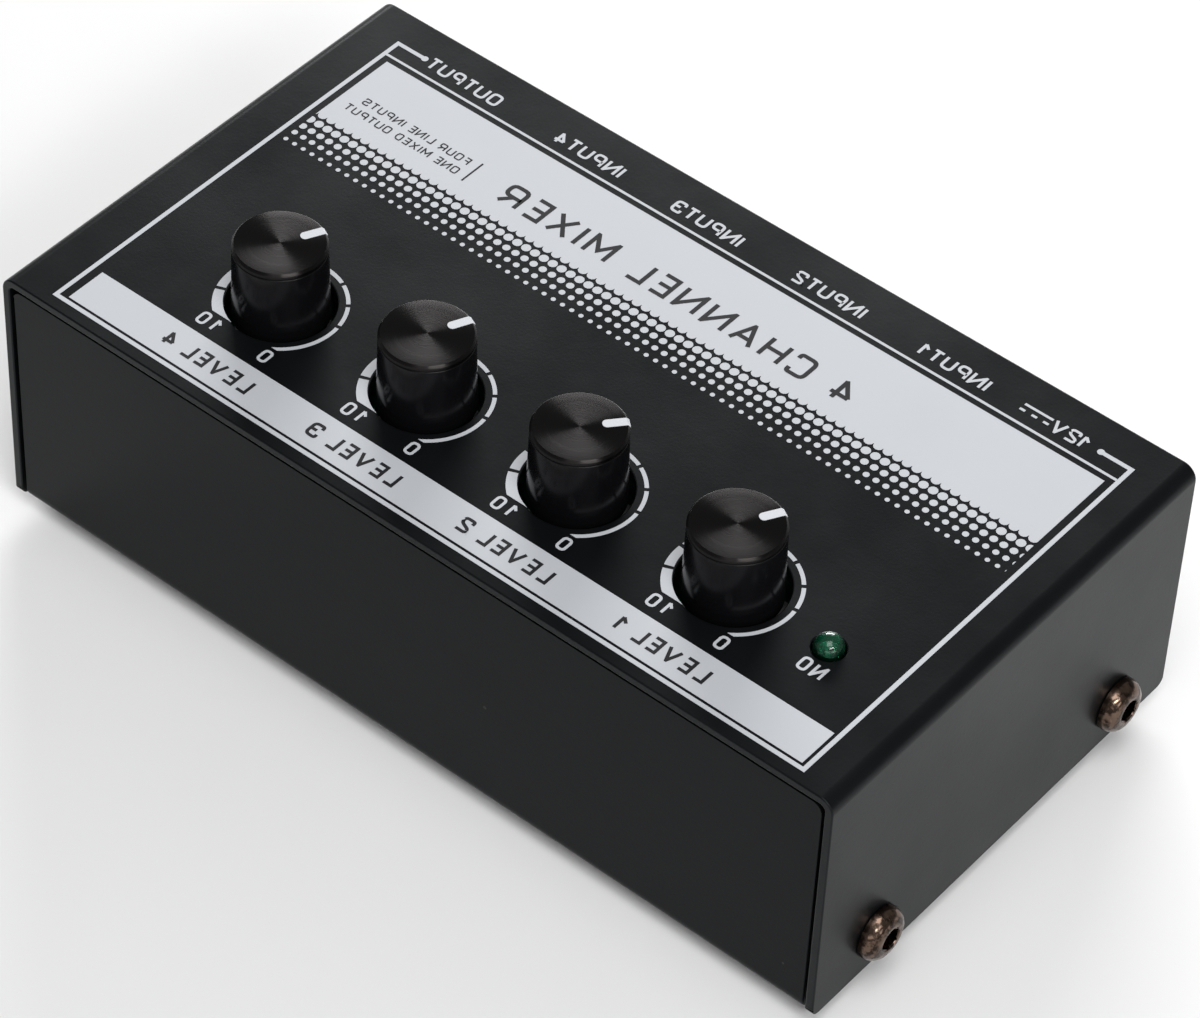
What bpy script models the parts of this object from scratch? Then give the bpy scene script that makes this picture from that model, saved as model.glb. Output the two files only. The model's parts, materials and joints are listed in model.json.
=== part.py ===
"""Four-channel line mixer in a bent steel box, built as separate pieces.

Units are metres. +Z is up, +X runs to the right along the front and +Y runs to the back.
The origin lies on the surface that the feet stand on, below the middle of the outer box.
"""

import math

import bmesh
import bpy
from mathutils import Matrix

# Steel box
BODY_W = 0.1340
BODY_D = 0.0732
BODY_H = 0.0394
SHEET = 0.0012
BEND_R = 0.0020
BEND_STEPS = 4
SEAM = 0.0005
PANEL_RECESS = 0.0002
SIDE_CORNER_R = 0.0012
PANEL_CORNER_R = 0.0015
LIP_H = 0.0120
LIP_INSET = 0.0001
LIP_RELIEF = 0.0010
GAP = 0.00025
TINY = 0.000001

# Rubber feet
FOOT_R = 0.0050
FOOT_H = 0.0020
FOOT_EDGE = 0.0004
FOOT_INSET = 0.0090

# Button-head screws in the sides
SIDE_SCREW_Y = 0.0248
SIDE_SCREW_Z = 0.0063
SIDE_HEAD_R = 0.0038
SIDE_HEAD_H = 0.0022
SIDE_HEAD_RIM = 0.0004
SIDE_HEAD_FLAT_R = 0.0020
SIDE_SHANK_R = 0.0019
SIDE_SHANK_L = 0.0070
SIDE_SOCKET_R = 0.0016
SIDE_SOCKET_DEPTH = 0.0013
SIDE_HOLE_R = 0.0022

# Level knobs, heights counted from the top of the cover
CHANNELS = 4
KNOB_PITCH = 0.02445
KNOB_ROW_X = -0.0005
KNOB_ROW_Y = 0.0199
KNOB_HOLE_R = 0.0072
KNOB_FOOT_R = 0.0064
KNOB_TOP_R = 0.00615
KNOB_FOOT_Z = -0.0018
KNOB_SHOULDER_Z = 0.0093
KNOB_WALL = 0.0012
KNOB_HUB_R = 0.0043
KNOB_HUB_Z = -0.0006
KNOB_CAVITY_Z = 0.0055
KNOB_BORE_Z = 0.0080
CAP_T = 0.0008
CAP_EDGE = 0.0003
CAP_Z = KNOB_SHOULDER_Z + GAP
POINTER_ANGLES = {1: 60.3, 2: 49.6, 3: 65.0, 4: 63.6}

# Circuit board, hung below the cover
BOARD_TOP = 0.0280
BOARD_T = 0.0016
BOARD_HALF_X = 0.0630
BOARD_FRONT = 0.0030
BOARD_BACK = 0.0025

# Potentiometers, heights counted from the top of the board
POT_HALF_X = 0.0049
POT_HALF_Y = 0.0055
POT_H = 0.0066
POT_NECK_R = 0.0042
POT_NECK_H = 0.0015
POT_BORE_FLOOR = 0.0015
SHAFT_R = 0.0030
SHAFT_CLEARANCE = 0.00008
SHAFT_FLAT = 0.0015
SHAFT_TOP_GAP = 0.0005
SHAFT_FLAT_L = 0.0100

# Power light
LIGHT_X = 0.0513
LIGHT_Y = 0.0192
LIGHT_R = 0.0020
LIGHT_HOLE_R = 0.0022
LIGHT_BODY_H = 0.0032
LIGHT_FLANGE_R = 0.0023
LIGHT_FLANGE_H = 0.0008
LIGHT_LEAD = 0.0005
LIGHT_LEAD_PITCH = 0.00254

# Quarter-inch jack sockets in the back
JACK_PITCH = 0.01985
INPUT_1_X = 0.0335
OUTPUT_X = -0.0474
JACK_HALF_X = 0.0078
JACK_H = 0.0134
JACK_L = 0.0240
JACK_NECK_R = 0.00475
JACK_PROUD = 0.0044
JACK_BORE_R = 0.0033
JACK_BORE_L = 0.0220
JACK_HOLE_R = 0.0051
WASHER_R = 0.0070
WASHER_T = 0.0005
NUT_FLATS = 0.0130
NUT_T = 0.0024
NUT_BORE_R = 0.0050

# Power socket in the back
DC_X = 0.0494
DC_HALF_X = 0.0045
DC_HALF_Z = 0.0055
DC_L = 0.0135
DC_NECK_R = 0.0039
DC_PROUD = 0.0003
DC_BORE_R = 0.0032
DC_BORE_L = 0.0090
DC_HOLE_R = 0.0042
DC_PIN_R = 0.0010
DC_PIN_SUNK = 0.0012

# Small machine screws and the pillars they hold
PILLAR_X = 0.0480
PILLAR_Y = 0.0085
PILLAR_FLATS = 0.0050
PILLAR_BORE_R = 0.0016
PILLAR_BORE_L = 0.0062
SMALL_HEAD_R = 0.0027
SMALL_HEAD_H = 0.0014
SMALL_SHANK_R = 0.0014
SMALL_SHANK_L = 0.0065
SMALL_HOLE_R = 0.0017

# Parts below the board
CHIP_HALF_X = 0.0048
CHIP_HALF_Y = 0.0032
CHIP_H = 0.0033
CHIP_STAND = 0.0006
CHIP_LEG = 0.0005
CHIP_LEG_OUT = 0.0039
CHIP_LEG_PITCH = 0.00254
CHIP_PLACES = {1: (0.0120, 0.0290), 2: (-0.0160, 0.0290)}
CAN_R = 0.00315
CAN_H = 0.0110
CAN_GROOVE_Z = 0.0015
CAN_GROOVE = 0.0002
CAN_EDGE = 0.0004
CAN_PLACES = {
    1: (0.0330, 0.0300),
    2: (0.0240, 0.0160),
    3: (-0.0020, 0.0160),
    4: (-0.0330, 0.0300),
}
REGULATOR_R = 0.0024
REGULATOR_H = 0.0046
REGULATOR_STAND = 0.0018
REGULATOR_LEG = 0.0004
REGULATOR_LEG_PITCH = 0.00127
REGULATOR_PLACE = (0.0470, 0.0330)

# Places worked out from the sizes above
FRONT_Y = -(BODY_D + JACK_PROUD - PANEL_RECESS) / 2
BACK_Y = FRONT_Y + BODY_D
BASE_Z = FOOT_H + GAP
TOP_Z = BASE_Z + BODY_H
PANEL_FRONT_Y = FRONT_Y + PANEL_RECESS
PANEL_BACK_Y = BACK_Y - PANEL_RECESS
PANEL_TOP_Z = TOP_Z - SHEET - SEAM
CHASSIS_HALF_X = BODY_W / 2 - SHEET - SEAM
BOARD_TOP_Z = BASE_Z + BOARD_TOP
BOARD_UNDER_Z = BOARD_TOP_Z - BOARD_T
SOCKET_Z = BOARD_UNDER_Z - GAP - JACK_H / 2
MIDDLE_Y = FRONT_Y + BODY_D / 2


def remove_old_objects():
    for old in list(bpy.data.objects):
        bpy.data.objects.remove(old, do_unlink=True)


def material(name, colour, roughness, metallic=0.0):
    """Principled material, made once and then shared by name."""
    made = bpy.data.materials.get(name)
    if made is None:
        made = bpy.data.materials.new(name)
        made.use_nodes = True
        shader = made.node_tree.nodes["Principled BSDF"]
        shader.inputs["Base Color"].default_value = (*colour, 1.0)
        shader.inputs["Roughness"].default_value = roughness
        shader.inputs["Metallic"].default_value = metallic
    return made


def black_paint():
    return material("black_powder_paint", (0.018, 0.019, 0.020), 0.45)


def gloss_black():
    return material("gloss_black_plastic", (0.008, 0.008, 0.009), 0.15)


def spun_black():
    return material("spun_black_metal", (0.045, 0.045, 0.048), 0.30, 1.0)


def bronze():
    return material("bronze_plated_steel", (0.20, 0.15, 0.11), 0.28, 1.0)


def bright_steel():
    return material("bright_steel", (0.62, 0.62, 0.64), 0.30, 1.0)


def brass():
    return material("brass", (0.72, 0.56, 0.27), 0.30, 1.0)


def rubber():
    return material("black_rubber", (0.020, 0.020, 0.020), 0.85)


def black_moulding():
    return material("black_moulding", (0.020, 0.020, 0.022), 0.50)


def board_green():
    return material("board_green", (0.020, 0.150, 0.060), 0.40)


def lens_green():
    return material("green_lens", (0.010, 0.160, 0.070), 0.12)


def can_blue():
    return material("can_sleeve", (0.020, 0.035, 0.110), 0.35)


def mesh_from(bm, name, smooth=True):
    """Turn a bmesh into a mesh datablock with its faces pointing out."""
    bmesh.ops.recalc_face_normals(bm, faces=bm.faces)
    mesh = bpy.data.meshes.new(name)
    bm.to_mesh(mesh)
    bm.free()
    if smooth:
        mesh.shade_smooth()
        mesh.set_sharp_from_angle(angle=math.radians(35))
    return mesh


def place(name, mesh, finish, location=(0.0, 0.0, 0.0), turn=(0.0, 0.0, 0.0)):
    """Add one named object; its mesh may be shared with others."""
    if not mesh.materials:
        mesh.materials.append(finish)
    obj = bpy.data.objects.new(name, mesh)
    obj.location = location
    obj.rotation_euler = turn
    bpy.context.collection.objects.link(obj)
    return obj


def arc(centre, radius, start, end, steps):
    """Points of a flat arc, angles in degrees."""
    angles = [math.radians(start + (end - start) * i / steps) for i in range(steps + 1)]
    return [(centre[0] + radius * math.cos(a), centre[1] + radius * math.sin(a)) for a in angles]


def pushed_outline(outline, direction):
    """Closed solid: a flat outline of 3-D points pushed along a direction."""
    bm = bmesh.new()
    face = bm.faces.new([bm.verts.new(point) for point in outline])
    result = bmesh.ops.extrude_face_region(bm, geom=[face])
    moved = [item for item in result["geom"] if isinstance(item, bmesh.types.BMVert)]
    bmesh.ops.translate(bm, verts=moved, vec=direction)
    return bm


def turned(profile, steps):
    """Closed solid turned about Z from (radius, height) points."""
    bm = bmesh.new()
    points = [bm.verts.new((radius, 0.0, height)) for radius, height in profile]
    edges = [bm.edges.new(pair) for pair in zip(points, points[1:])]
    on_axis = profile[0][0] == 0.0 and profile[-1][0] == 0.0
    if not on_axis:
        edges.append(bm.edges.new((points[-1], points[0])))
    bmesh.ops.spin(
        bm,
        geom=points + edges,
        cent=(0.0, 0.0, 0.0),
        axis=(0.0, 0.0, 1.0),
        angle=math.tau,
        steps=steps,
        use_merge=True,
    )
    bmesh.ops.remove_doubles(bm, verts=bm.verts, dist=TINY)
    return bm


AXIS_TURNS = {
    "X": Matrix.Rotation(math.radians(90), 4, "Y"),
    "Y": Matrix.Rotation(math.radians(-90), 4, "X"),
    "Z": Matrix.Identity(4),
}


def add_rod(bm, centre, radius, length, along="Z", sides=16):
    """Add a straight rod, its flats level with the axes when it has few sides."""
    half_step = Matrix.Rotation(math.pi / sides, 4, "Z")
    bmesh.ops.create_cone(
        bm,
        cap_ends=True,
        segments=sides,
        radius1=radius,
        radius2=radius,
        depth=length,
        matrix=Matrix.Translation(centre) @ AXIS_TURNS[along] @ half_step,
    )


def add_block(bm, low, high):
    """Add a box between two corners."""
    size = [b - a for a, b in zip(low, high)]
    middle = [(a + b) / 2 for a, b in zip(low, high)]
    matrix = Matrix.Translation(middle) @ Matrix.Diagonal((*size, 1.0))
    bmesh.ops.create_cube(bm, size=1.0, matrix=matrix)


def tool(name, bm):
    """Helper object for a Boolean, left out of the finished model."""
    obj = bpy.data.objects.new(name, mesh_from(bm, name, smooth=False))
    obj.hide_render = True
    obj.display_type = "WIRE"
    bpy.context.collection.objects.link(obj)
    return obj


def combine(obj, other, operation):
    """Live exact Boolean of one object with a helper."""
    modifier = obj.modifiers.new(operation.lower(), "BOOLEAN")
    modifier.operation = operation
    modifier.object = other
    modifier.solver = "EXACT"


def settled(name, bm, steps):
    """Mesh of a shape after its Booleans, ready to share between copies."""
    shape = bpy.data.objects.new(name, mesh_from(bm, name, smooth=False))
    bpy.context.collection.objects.link(shape)
    helpers = []
    for operation, helper_bm in steps:
        helper = tool(name + "_tool", helper_bm)
        combine(shape, helper, operation)
        helpers.append(helper)
    view = bpy.context.evaluated_depsgraph_get()
    mesh = bpy.data.meshes.new_from_object(shape.evaluated_get(view))
    mesh.name = name
    mesh.shade_smooth()
    mesh.set_sharp_from_angle(angle=math.radians(35))
    for spare in [shape] + helpers:
        bpy.data.objects.remove(spare, do_unlink=True)
    return mesh


def knob_x(channel):
    """Channel 1 is the knob at the right."""
    return KNOB_ROW_X + (2.5 - channel) * KNOB_PITCH


def socket_places():
    """Jack sockets by name, from the power socket's side to the output."""
    places = {f"input_{n}": INPUT_1_X - (n - 1) * JACK_PITCH for n in range(1, CHANNELS + 1)}
    places["output"] = OUTPUT_X
    return places


def side_screw_places():
    """Y and Z of the screws on each side."""
    return [(MIDDLE_Y + sign * SIDE_SCREW_Y, BASE_Z + SIDE_SCREW_Z) for sign in (-1, 1)]


def make_cover():
    """Top and both sides in one bent sheet, open at the front, the back and below."""
    half = BODY_W / 2
    low = BASE_Z + GAP
    inner_r = BEND_R - SHEET
    right_centre = (half - BEND_R, TOP_Z - BEND_R)
    left_centre = (-half + BEND_R, TOP_Z - BEND_R)
    outline = [(half, low)]
    outline += arc(right_centre, BEND_R, 0, 90, BEND_STEPS)
    outline += arc(left_centre, BEND_R, 90, 180, BEND_STEPS)
    outline += [(-half, low), (-half + SHEET, low)]
    outline += arc(left_centre, inner_r, 180, 90, BEND_STEPS)
    outline += arc(right_centre, inner_r, 90, 0, BEND_STEPS)
    outline += [(half - SHEET, low)]
    bm = pushed_outline([(x, FRONT_Y, z) for x, z in outline], (0.0, BODY_D, 0.0))
    corners = [
        edge
        for edge in bm.edges
        if all(abs(vert.co.z - low) < TINY for vert in edge.verts)
        and abs(edge.verts[0].co.y - edge.verts[1].co.y) < TINY
    ]
    bmesh.ops.bevel(
        bm,
        geom=corners,
        offset=SIDE_CORNER_R,
        segments=3,
        profile=0.5,
        affect="EDGES",
        material=-1,
    )
    cover = place("cover", mesh_from(bm, "cover"), black_paint())

    holes = bmesh.new()
    for channel in range(1, CHANNELS + 1):
        centre = (knob_x(channel), FRONT_Y + KNOB_ROW_Y, TOP_Z)
        add_rod(holes, centre, KNOB_HOLE_R, 4 * SHEET, "Z", 32)
    add_rod(holes, (LIGHT_X, FRONT_Y + LIGHT_Y, TOP_Z), LIGHT_HOLE_R, 4 * SHEET, "Z", 16)
    for y, z in side_screw_places():
        for side in (-1, 1):
            add_rod(holes, (side * half, y, z), SIDE_HOLE_R, 4 * SHEET, "X", 12)
    combine(cover, tool("cover_holes", holes), "DIFFERENCE")


def make_chassis():
    """Bottom, front and back in one bent sheet, with a lip up each side for the screws."""
    inner_r = BEND_R - SHEET
    front_centre = (PANEL_FRONT_Y + BEND_R, BASE_Z + BEND_R)
    back_centre = (PANEL_BACK_Y - BEND_R, BASE_Z + BEND_R)
    outline = [(PANEL_FRONT_Y, PANEL_TOP_Z)]
    outline += arc(front_centre, BEND_R, 180, 270, BEND_STEPS)
    outline += arc(back_centre, BEND_R, 270, 360, BEND_STEPS)
    outline += [(PANEL_BACK_Y, PANEL_TOP_Z), (PANEL_BACK_Y - SHEET, PANEL_TOP_Z)]
    outline += arc(back_centre, inner_r, 360, 270, BEND_STEPS)
    outline += arc(front_centre, inner_r, 270, 180, BEND_STEPS)
    outline += [(PANEL_FRONT_Y + SHEET, PANEL_TOP_Z)]
    points = [(-CHASSIS_HALF_X, y, z) for y, z in outline]
    bm = pushed_outline(points, (2 * CHASSIS_HALF_X, 0.0, 0.0))
    corners = [
        edge
        for edge in bm.edges
        if all(abs(vert.co.z - PANEL_TOP_Z) < TINY for vert in edge.verts)
        and abs(edge.verts[0].co.x - edge.verts[1].co.x) < TINY
    ]
    bmesh.ops.bevel(
        bm,
        geom=corners,
        offset=PANEL_CORNER_R,
        segments=3,
        profile=0.5,
        affect="EDGES",
        material=-1,
    )
    chassis = place("chassis", mesh_from(bm, "chassis"), black_paint())

    lips = bmesh.new()
    lip_outer = CHASSIS_HALF_X - LIP_INSET
    for side in (-1, 1):
        inside, outside = sorted((side * (lip_outer - SHEET), side * lip_outer))
        low = (inside, PANEL_FRONT_Y + SHEET + LIP_RELIEF, BASE_Z + SHEET / 2)
        high = (outside, PANEL_BACK_Y - SHEET - LIP_RELIEF, BASE_Z + LIP_H)
        add_block(lips, low, high)
    combine(chassis, tool("chassis_lips", lips), "UNION")

    holes = bmesh.new()
    for x in socket_places().values():
        add_rod(holes, (x, PANEL_BACK_Y, SOCKET_Z), JACK_HOLE_R, 4 * SHEET, "Y", 16)
    add_rod(holes, (DC_X, PANEL_BACK_Y, SOCKET_Z), DC_HOLE_R, 4 * SHEET, "Y", 16)
    for side in (-1, 1):
        pillar = (side * PILLAR_X, FRONT_Y + PILLAR_Y, BASE_Z)
        add_rod(holes, pillar, SMALL_HOLE_R, 4 * SHEET, "Z", 12)
        for y, z in side_screw_places():
            add_rod(holes, (side * lip_outer, y, z), SIDE_HOLE_R, 4 * SHEET, "X", 12)
    combine(chassis, tool("chassis_holes", holes), "DIFFERENCE")


def make_feet():
    profile = [
        (0.0, 0.0),
        (FOOT_R - FOOT_EDGE, 0.0),
        (FOOT_R, FOOT_EDGE),
        (FOOT_R, FOOT_H),
        (0.0, FOOT_H),
    ]
    mesh = mesh_from(turned(profile, 20), "foot")
    names = {(-1, -1): "front_left", (1, -1): "front_right"}
    names.update({(-1, 1): "back_left", (1, 1): "back_right"})
    for (side, end), name in names.items():
        x = side * (BODY_W / 2 - FOOT_INSET)
        y = MIDDLE_Y + end * (BODY_D / 2 - FOOT_INSET)
        place("foot_" + name, mesh, rubber(), (x, y, 0.0))


def make_side_screws():
    """Button heads with a hexagon socket; the shank points down in the shared mesh."""
    crown = [
        (SIDE_HEAD_FLAT_R + (SIDE_HEAD_R - SIDE_HEAD_FLAT_R) * math.sin(a),
         SIDE_HEAD_RIM + (SIDE_HEAD_H - SIDE_HEAD_RIM) * math.cos(a))
        for a in (0.0, math.pi / 6, math.pi / 3, math.pi / 2)
    ]
    profile = [(0.0, SIDE_HEAD_H)] + crown
    profile += [(SIDE_HEAD_R, 0.0), (SIDE_SHANK_R, 0.0), (SIDE_SHANK_R, -SIDE_SHANK_L)]
    profile += [(0.0, -SIDE_SHANK_L)]
    socket = bmesh.new()
    depth = 2 * SIDE_SOCKET_DEPTH
    add_rod(socket, (0.0, 0.0, SIDE_HEAD_H), SIDE_SOCKET_R, depth, "Z", 6)
    mesh = settled("side_screw", turned(profile, 16), [("DIFFERENCE", socket)])
    for side, side_name in ((-1, "left"), (1, "right")):
        for (y, z), end_name in zip(side_screw_places(), ("front", "back")):
            place(
                f"screw_{side_name}_{end_name}",
                mesh,
                bronze(),
                (side * (BODY_W / 2 + GAP), y, z),
                (0.0, side * math.radians(90), 0.0),
            )


def shaft_outline(radius, flat):
    """Round outline with one flat, which faces -X."""
    start = 180 - math.degrees(math.acos(flat / radius))
    return arc((0.0, 0.0), radius, -start, start, 20)


def make_knobs():
    """Knob, cap and potentiometer shaft of each channel; they turn together."""
    profile = [
        (0.0, KNOB_SHOULDER_Z),
        (KNOB_TOP_R, KNOB_SHOULDER_Z),
        (KNOB_FOOT_R, KNOB_FOOT_Z),
        (KNOB_FOOT_R - KNOB_WALL, KNOB_FOOT_Z),
        (KNOB_FOOT_R - KNOB_WALL, KNOB_CAVITY_Z),
        (KNOB_HUB_R, KNOB_CAVITY_Z),
        (KNOB_HUB_R, KNOB_HUB_Z),
        (0.0, KNOB_HUB_Z),
    ]
    bore_low = KNOB_HUB_Z - SHEET
    bore_outline = shaft_outline(SHAFT_R + SHAFT_CLEARANCE, SHAFT_FLAT + SHAFT_CLEARANCE)
    bore = pushed_outline(
        [(x, y, bore_low) for x, y in bore_outline], (0.0, 0.0, KNOB_BORE_Z - bore_low)
    )
    knob_mesh = settled("knob", turned(profile, 32), [("DIFFERENCE", bore)])

    cap_profile = [
        (0.0, CAP_Z + CAP_T),
        (KNOB_TOP_R - CAP_EDGE, CAP_Z + CAP_T),
        (KNOB_TOP_R, CAP_Z + CAP_T - CAP_EDGE),
        (KNOB_TOP_R, CAP_Z),
        (0.0, CAP_Z),
    ]
    cap_mesh = mesh_from(turned(cap_profile, 32), "knob_cap")

    shaft_low = BOARD_TOP + POT_BORE_FLOOR + GAP - BODY_H
    shaft_high = KNOB_BORE_Z - SHAFT_TOP_GAP
    flat_low = shaft_high - SHAFT_FLAT_L
    rod = bmesh.new()
    middle = (shaft_low + shaft_high) / 2
    add_rod(rod, (0.0, 0.0, middle), SHAFT_R, shaft_high - shaft_low, "Z", 24)
    flat = bmesh.new()
    far = 2 * SHAFT_R
    add_block(flat, (-far, -far, flat_low), (-SHAFT_FLAT, far, shaft_high + SHEET))
    shaft_mesh = settled("pot_shaft", rod, [("DIFFERENCE", flat)])

    for channel, angle in POINTER_ANGLES.items():
        spot = (knob_x(channel), FRONT_Y + KNOB_ROW_Y, TOP_Z)
        turn = (0.0, 0.0, math.radians(angle))
        place(f"knob_{channel}", knob_mesh, gloss_black(), spot, turn)
        place(f"knob_cap_{channel}", cap_mesh, spun_black(), spot, turn)
        place(f"pot_shaft_{channel}", shaft_mesh, bright_steel(), spot, turn)


def make_potentiometers():
    """Square bodies that stand on the board, each with a short neck round the shaft."""
    body = bmesh.new()
    add_block(body, (-POT_HALF_X, -POT_HALF_Y, GAP), (POT_HALF_X, POT_HALF_Y, POT_H))
    neck = bmesh.new()
    neck_high = POT_H + POT_NECK_H
    neck_low = POT_H - POT_NECK_H
    neck_mid = (neck_low + neck_high) / 2
    add_rod(neck, (0.0, 0.0, neck_mid), POT_NECK_R, neck_high - neck_low, "Z", 16)
    bore = bmesh.new()
    bore_high = neck_high + SHEET
    bore_mid = (POT_BORE_FLOOR + bore_high) / 2
    bore_r = SHAFT_R + SHAFT_CLEARANCE
    add_rod(bore, (0.0, 0.0, bore_mid), bore_r, bore_high - POT_BORE_FLOOR, "Z", 24)
    mesh = settled("pot_body", body, [("UNION", neck), ("DIFFERENCE", bore)])
    for channel in range(1, CHANNELS + 1):
        spot = (knob_x(channel), FRONT_Y + KNOB_ROW_Y, BOARD_TOP_Z)
        place(f"pot_body_{channel}", mesh, bright_steel(), spot)


def make_power_light():
    """Green light with its dome level with the cover and two leads down to the board."""
    dome = arc((0.0, 0.0), LIGHT_R, 90, 0, 5)
    dome[0] = (0.0, LIGHT_R)
    flange_high = LIGHT_FLANGE_H - LIGHT_BODY_H
    profile = dome + [
        (LIGHT_R, flange_high),
        (LIGHT_FLANGE_R, flange_high),
        (LIGHT_FLANGE_R, -LIGHT_BODY_H),
        (0.0, -LIGHT_BODY_H),
    ]
    leads = bmesh.new()
    lead_low = BOARD_TOP + GAP - BODY_H
    for side in (-1, 1):
        x = side * LIGHT_LEAD_PITCH / 2
        low = (x - LIGHT_LEAD / 2, -LIGHT_LEAD / 2, lead_low)
        high = (x + LIGHT_LEAD / 2, LIGHT_LEAD / 2, flange_high - LIGHT_FLANGE_H / 2)
        add_block(leads, low, high)
    mesh = settled("power_light", turned(profile, 20), [("UNION", leads)])
    place("power_light", mesh, lens_green(), (LIGHT_X, FRONT_Y + LIGHT_Y, TOP_Z))


def make_jacks():
    """Sockets, washers and nuts; each jack is modelled about its own axis along Y."""
    back = -(SHEET + GAP)
    body = bmesh.new()
    low = (-JACK_HALF_X, back - JACK_L, -JACK_H / 2)
    add_block(body, low, (JACK_HALF_X, back, JACK_H / 2))
    neck = bmesh.new()
    neck_low = back - SHEET
    neck_mid = (0.0, (neck_low + JACK_PROUD) / 2, 0.0)
    add_rod(neck, neck_mid, JACK_NECK_R, JACK_PROUD - neck_low, "Y", 16)
    bore = bmesh.new()
    bore_high = JACK_PROUD + SHEET
    bore_low = JACK_PROUD - JACK_BORE_L
    bore_mid = (0.0, (bore_low + bore_high) / 2, 0.0)
    add_rod(bore, bore_mid, JACK_BORE_R, bore_high - bore_low, "Y", 16)
    jack_mesh = settled("jack", body, [("UNION", neck), ("DIFFERENCE", bore)])

    washer_profile = [
        (NUT_BORE_R, GAP),
        (WASHER_R, GAP),
        (WASHER_R, GAP + WASHER_T),
        (NUT_BORE_R, GAP + WASHER_T),
    ]
    washer_mesh = mesh_from(turned(washer_profile, 16), "jack_washer")

    nut_low = 2 * GAP + WASHER_T
    nut_mid = nut_low + NUT_T / 2
    corner_r = NUT_FLATS / 2 / math.cos(math.pi / 6)
    hexagon = bmesh.new()
    add_rod(hexagon, (0.0, 0.0, nut_mid), corner_r, NUT_T, "Z", 6)
    nut_bore = bmesh.new()
    add_rod(nut_bore, (0.0, 0.0, nut_mid), NUT_BORE_R, 2 * NUT_T, "Z", 16)
    nut_mesh = settled("jack_nut", hexagon, [("DIFFERENCE", nut_bore)])

    lay_back = (math.radians(-90), 0.0, 0.0)
    for name, x in socket_places().items():
        spot = (x, PANEL_BACK_Y, SOCKET_Z)
        place("jack_" + name, jack_mesh, black_moulding(), spot)
        place("washer_" + name, washer_mesh, bright_steel(), spot, lay_back)
        place("nut_" + name, nut_mesh, bright_steel(), spot, lay_back)


def make_power_socket():
    """Barrel socket and its centre pin."""
    back = -(SHEET + GAP)
    body = bmesh.new()
    low = (-DC_HALF_X, back - DC_L, -DC_HALF_Z)
    add_block(body, low, (DC_HALF_X, back, DC_HALF_Z))
    neck = bmesh.new()
    neck_low = back - SHEET
    neck_mid = (0.0, (neck_low + DC_PROUD) / 2, 0.0)
    add_rod(neck, neck_mid, DC_NECK_R, DC_PROUD - neck_low, "Y", 16)
    bore = bmesh.new()
    bore_low = DC_PROUD - DC_BORE_L
    bore_high = DC_PROUD + SHEET
    bore_mid = (0.0, (bore_low + bore_high) / 2, 0.0)
    add_rod(bore, bore_mid, DC_BORE_R, bore_high - bore_low, "Y", 16)
    steps = [("UNION", neck), ("DIFFERENCE", bore)]
    spot = (DC_X, PANEL_BACK_Y, SOCKET_Z)
    place("power_socket", settled("power_socket", body, steps), black_moulding(), spot)

    pin = bmesh.new()
    pin_low = bore_low + GAP
    pin_high = DC_PROUD - DC_PIN_SUNK
    pin_mid = (0.0, (pin_low + pin_high) / 2, 0.0)
    add_rod(pin, pin_mid, DC_PIN_R, pin_high - pin_low, "Y", 12)
    place("power_pin", mesh_from(pin, "power_pin"), bright_steel(), spot)


def make_board():
    """Circuit board, drilled for the two screws into the pillars."""
    bm = bmesh.new()
    low = (-BOARD_HALF_X, FRONT_Y + BOARD_FRONT, BOARD_UNDER_Z)
    high = (BOARD_HALF_X, BACK_Y - BOARD_BACK, BOARD_TOP_Z)
    add_block(bm, low, high)
    board = place("board", mesh_from(bm, "board", smooth=False), board_green())
    holes = bmesh.new()
    for side in (-1, 1):
        centre = (side * PILLAR_X, FRONT_Y + PILLAR_Y, BOARD_TOP_Z)
        add_rod(holes, centre, SMALL_HOLE_R, 4 * BOARD_T, "Z", 12)
    combine(board, tool("board_holes", holes), "DIFFERENCE")


def make_pillars():
    """Hexagon pillars from the chassis up to the board, with a screw at each end."""
    floor = BASE_Z + SHEET + GAP
    roof = BOARD_UNDER_Z - GAP
    length = roof - floor
    hexagon = bmesh.new()
    corner_r = PILLAR_FLATS / 2 / math.cos(math.pi / 6)
    add_rod(hexagon, (0.0, 0.0, length / 2), corner_r, length, "Z", 6)
    bores = bmesh.new()
    for end in (0.0, length):
        add_rod(bores, (0.0, 0.0, end), PILLAR_BORE_R, 2 * PILLAR_BORE_L, "Z", 12)
    pillar_mesh = settled("pillar", hexagon, [("DIFFERENCE", bores)])

    screw_profile = [
        (0.0, SMALL_HEAD_H),
        (SMALL_HEAD_R * 0.75, SMALL_HEAD_H),
        (SMALL_HEAD_R, SMALL_HEAD_H * 0.5),
        (SMALL_HEAD_R, 0.0),
        (SMALL_SHANK_R, 0.0),
        (SMALL_SHANK_R, -SMALL_SHANK_L),
        (0.0, -SMALL_SHANK_L),
    ]
    screw_mesh = mesh_from(turned(screw_profile, 12), "small_screw")
    for side, name in ((-1, "left"), (1, "right")):
        x = side * PILLAR_X
        y = FRONT_Y + PILLAR_Y
        place("pillar_" + name, pillar_mesh, brass(), (x, y, floor))
        upside_down = (math.pi, 0.0, 0.0)
        place("base_screw_" + name, screw_mesh, bright_steel(), (x, y, BASE_Z - GAP), upside_down)
        place("board_screw_" + name, screw_mesh, bright_steel(), (x, y, BOARD_TOP_Z + GAP))


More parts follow.
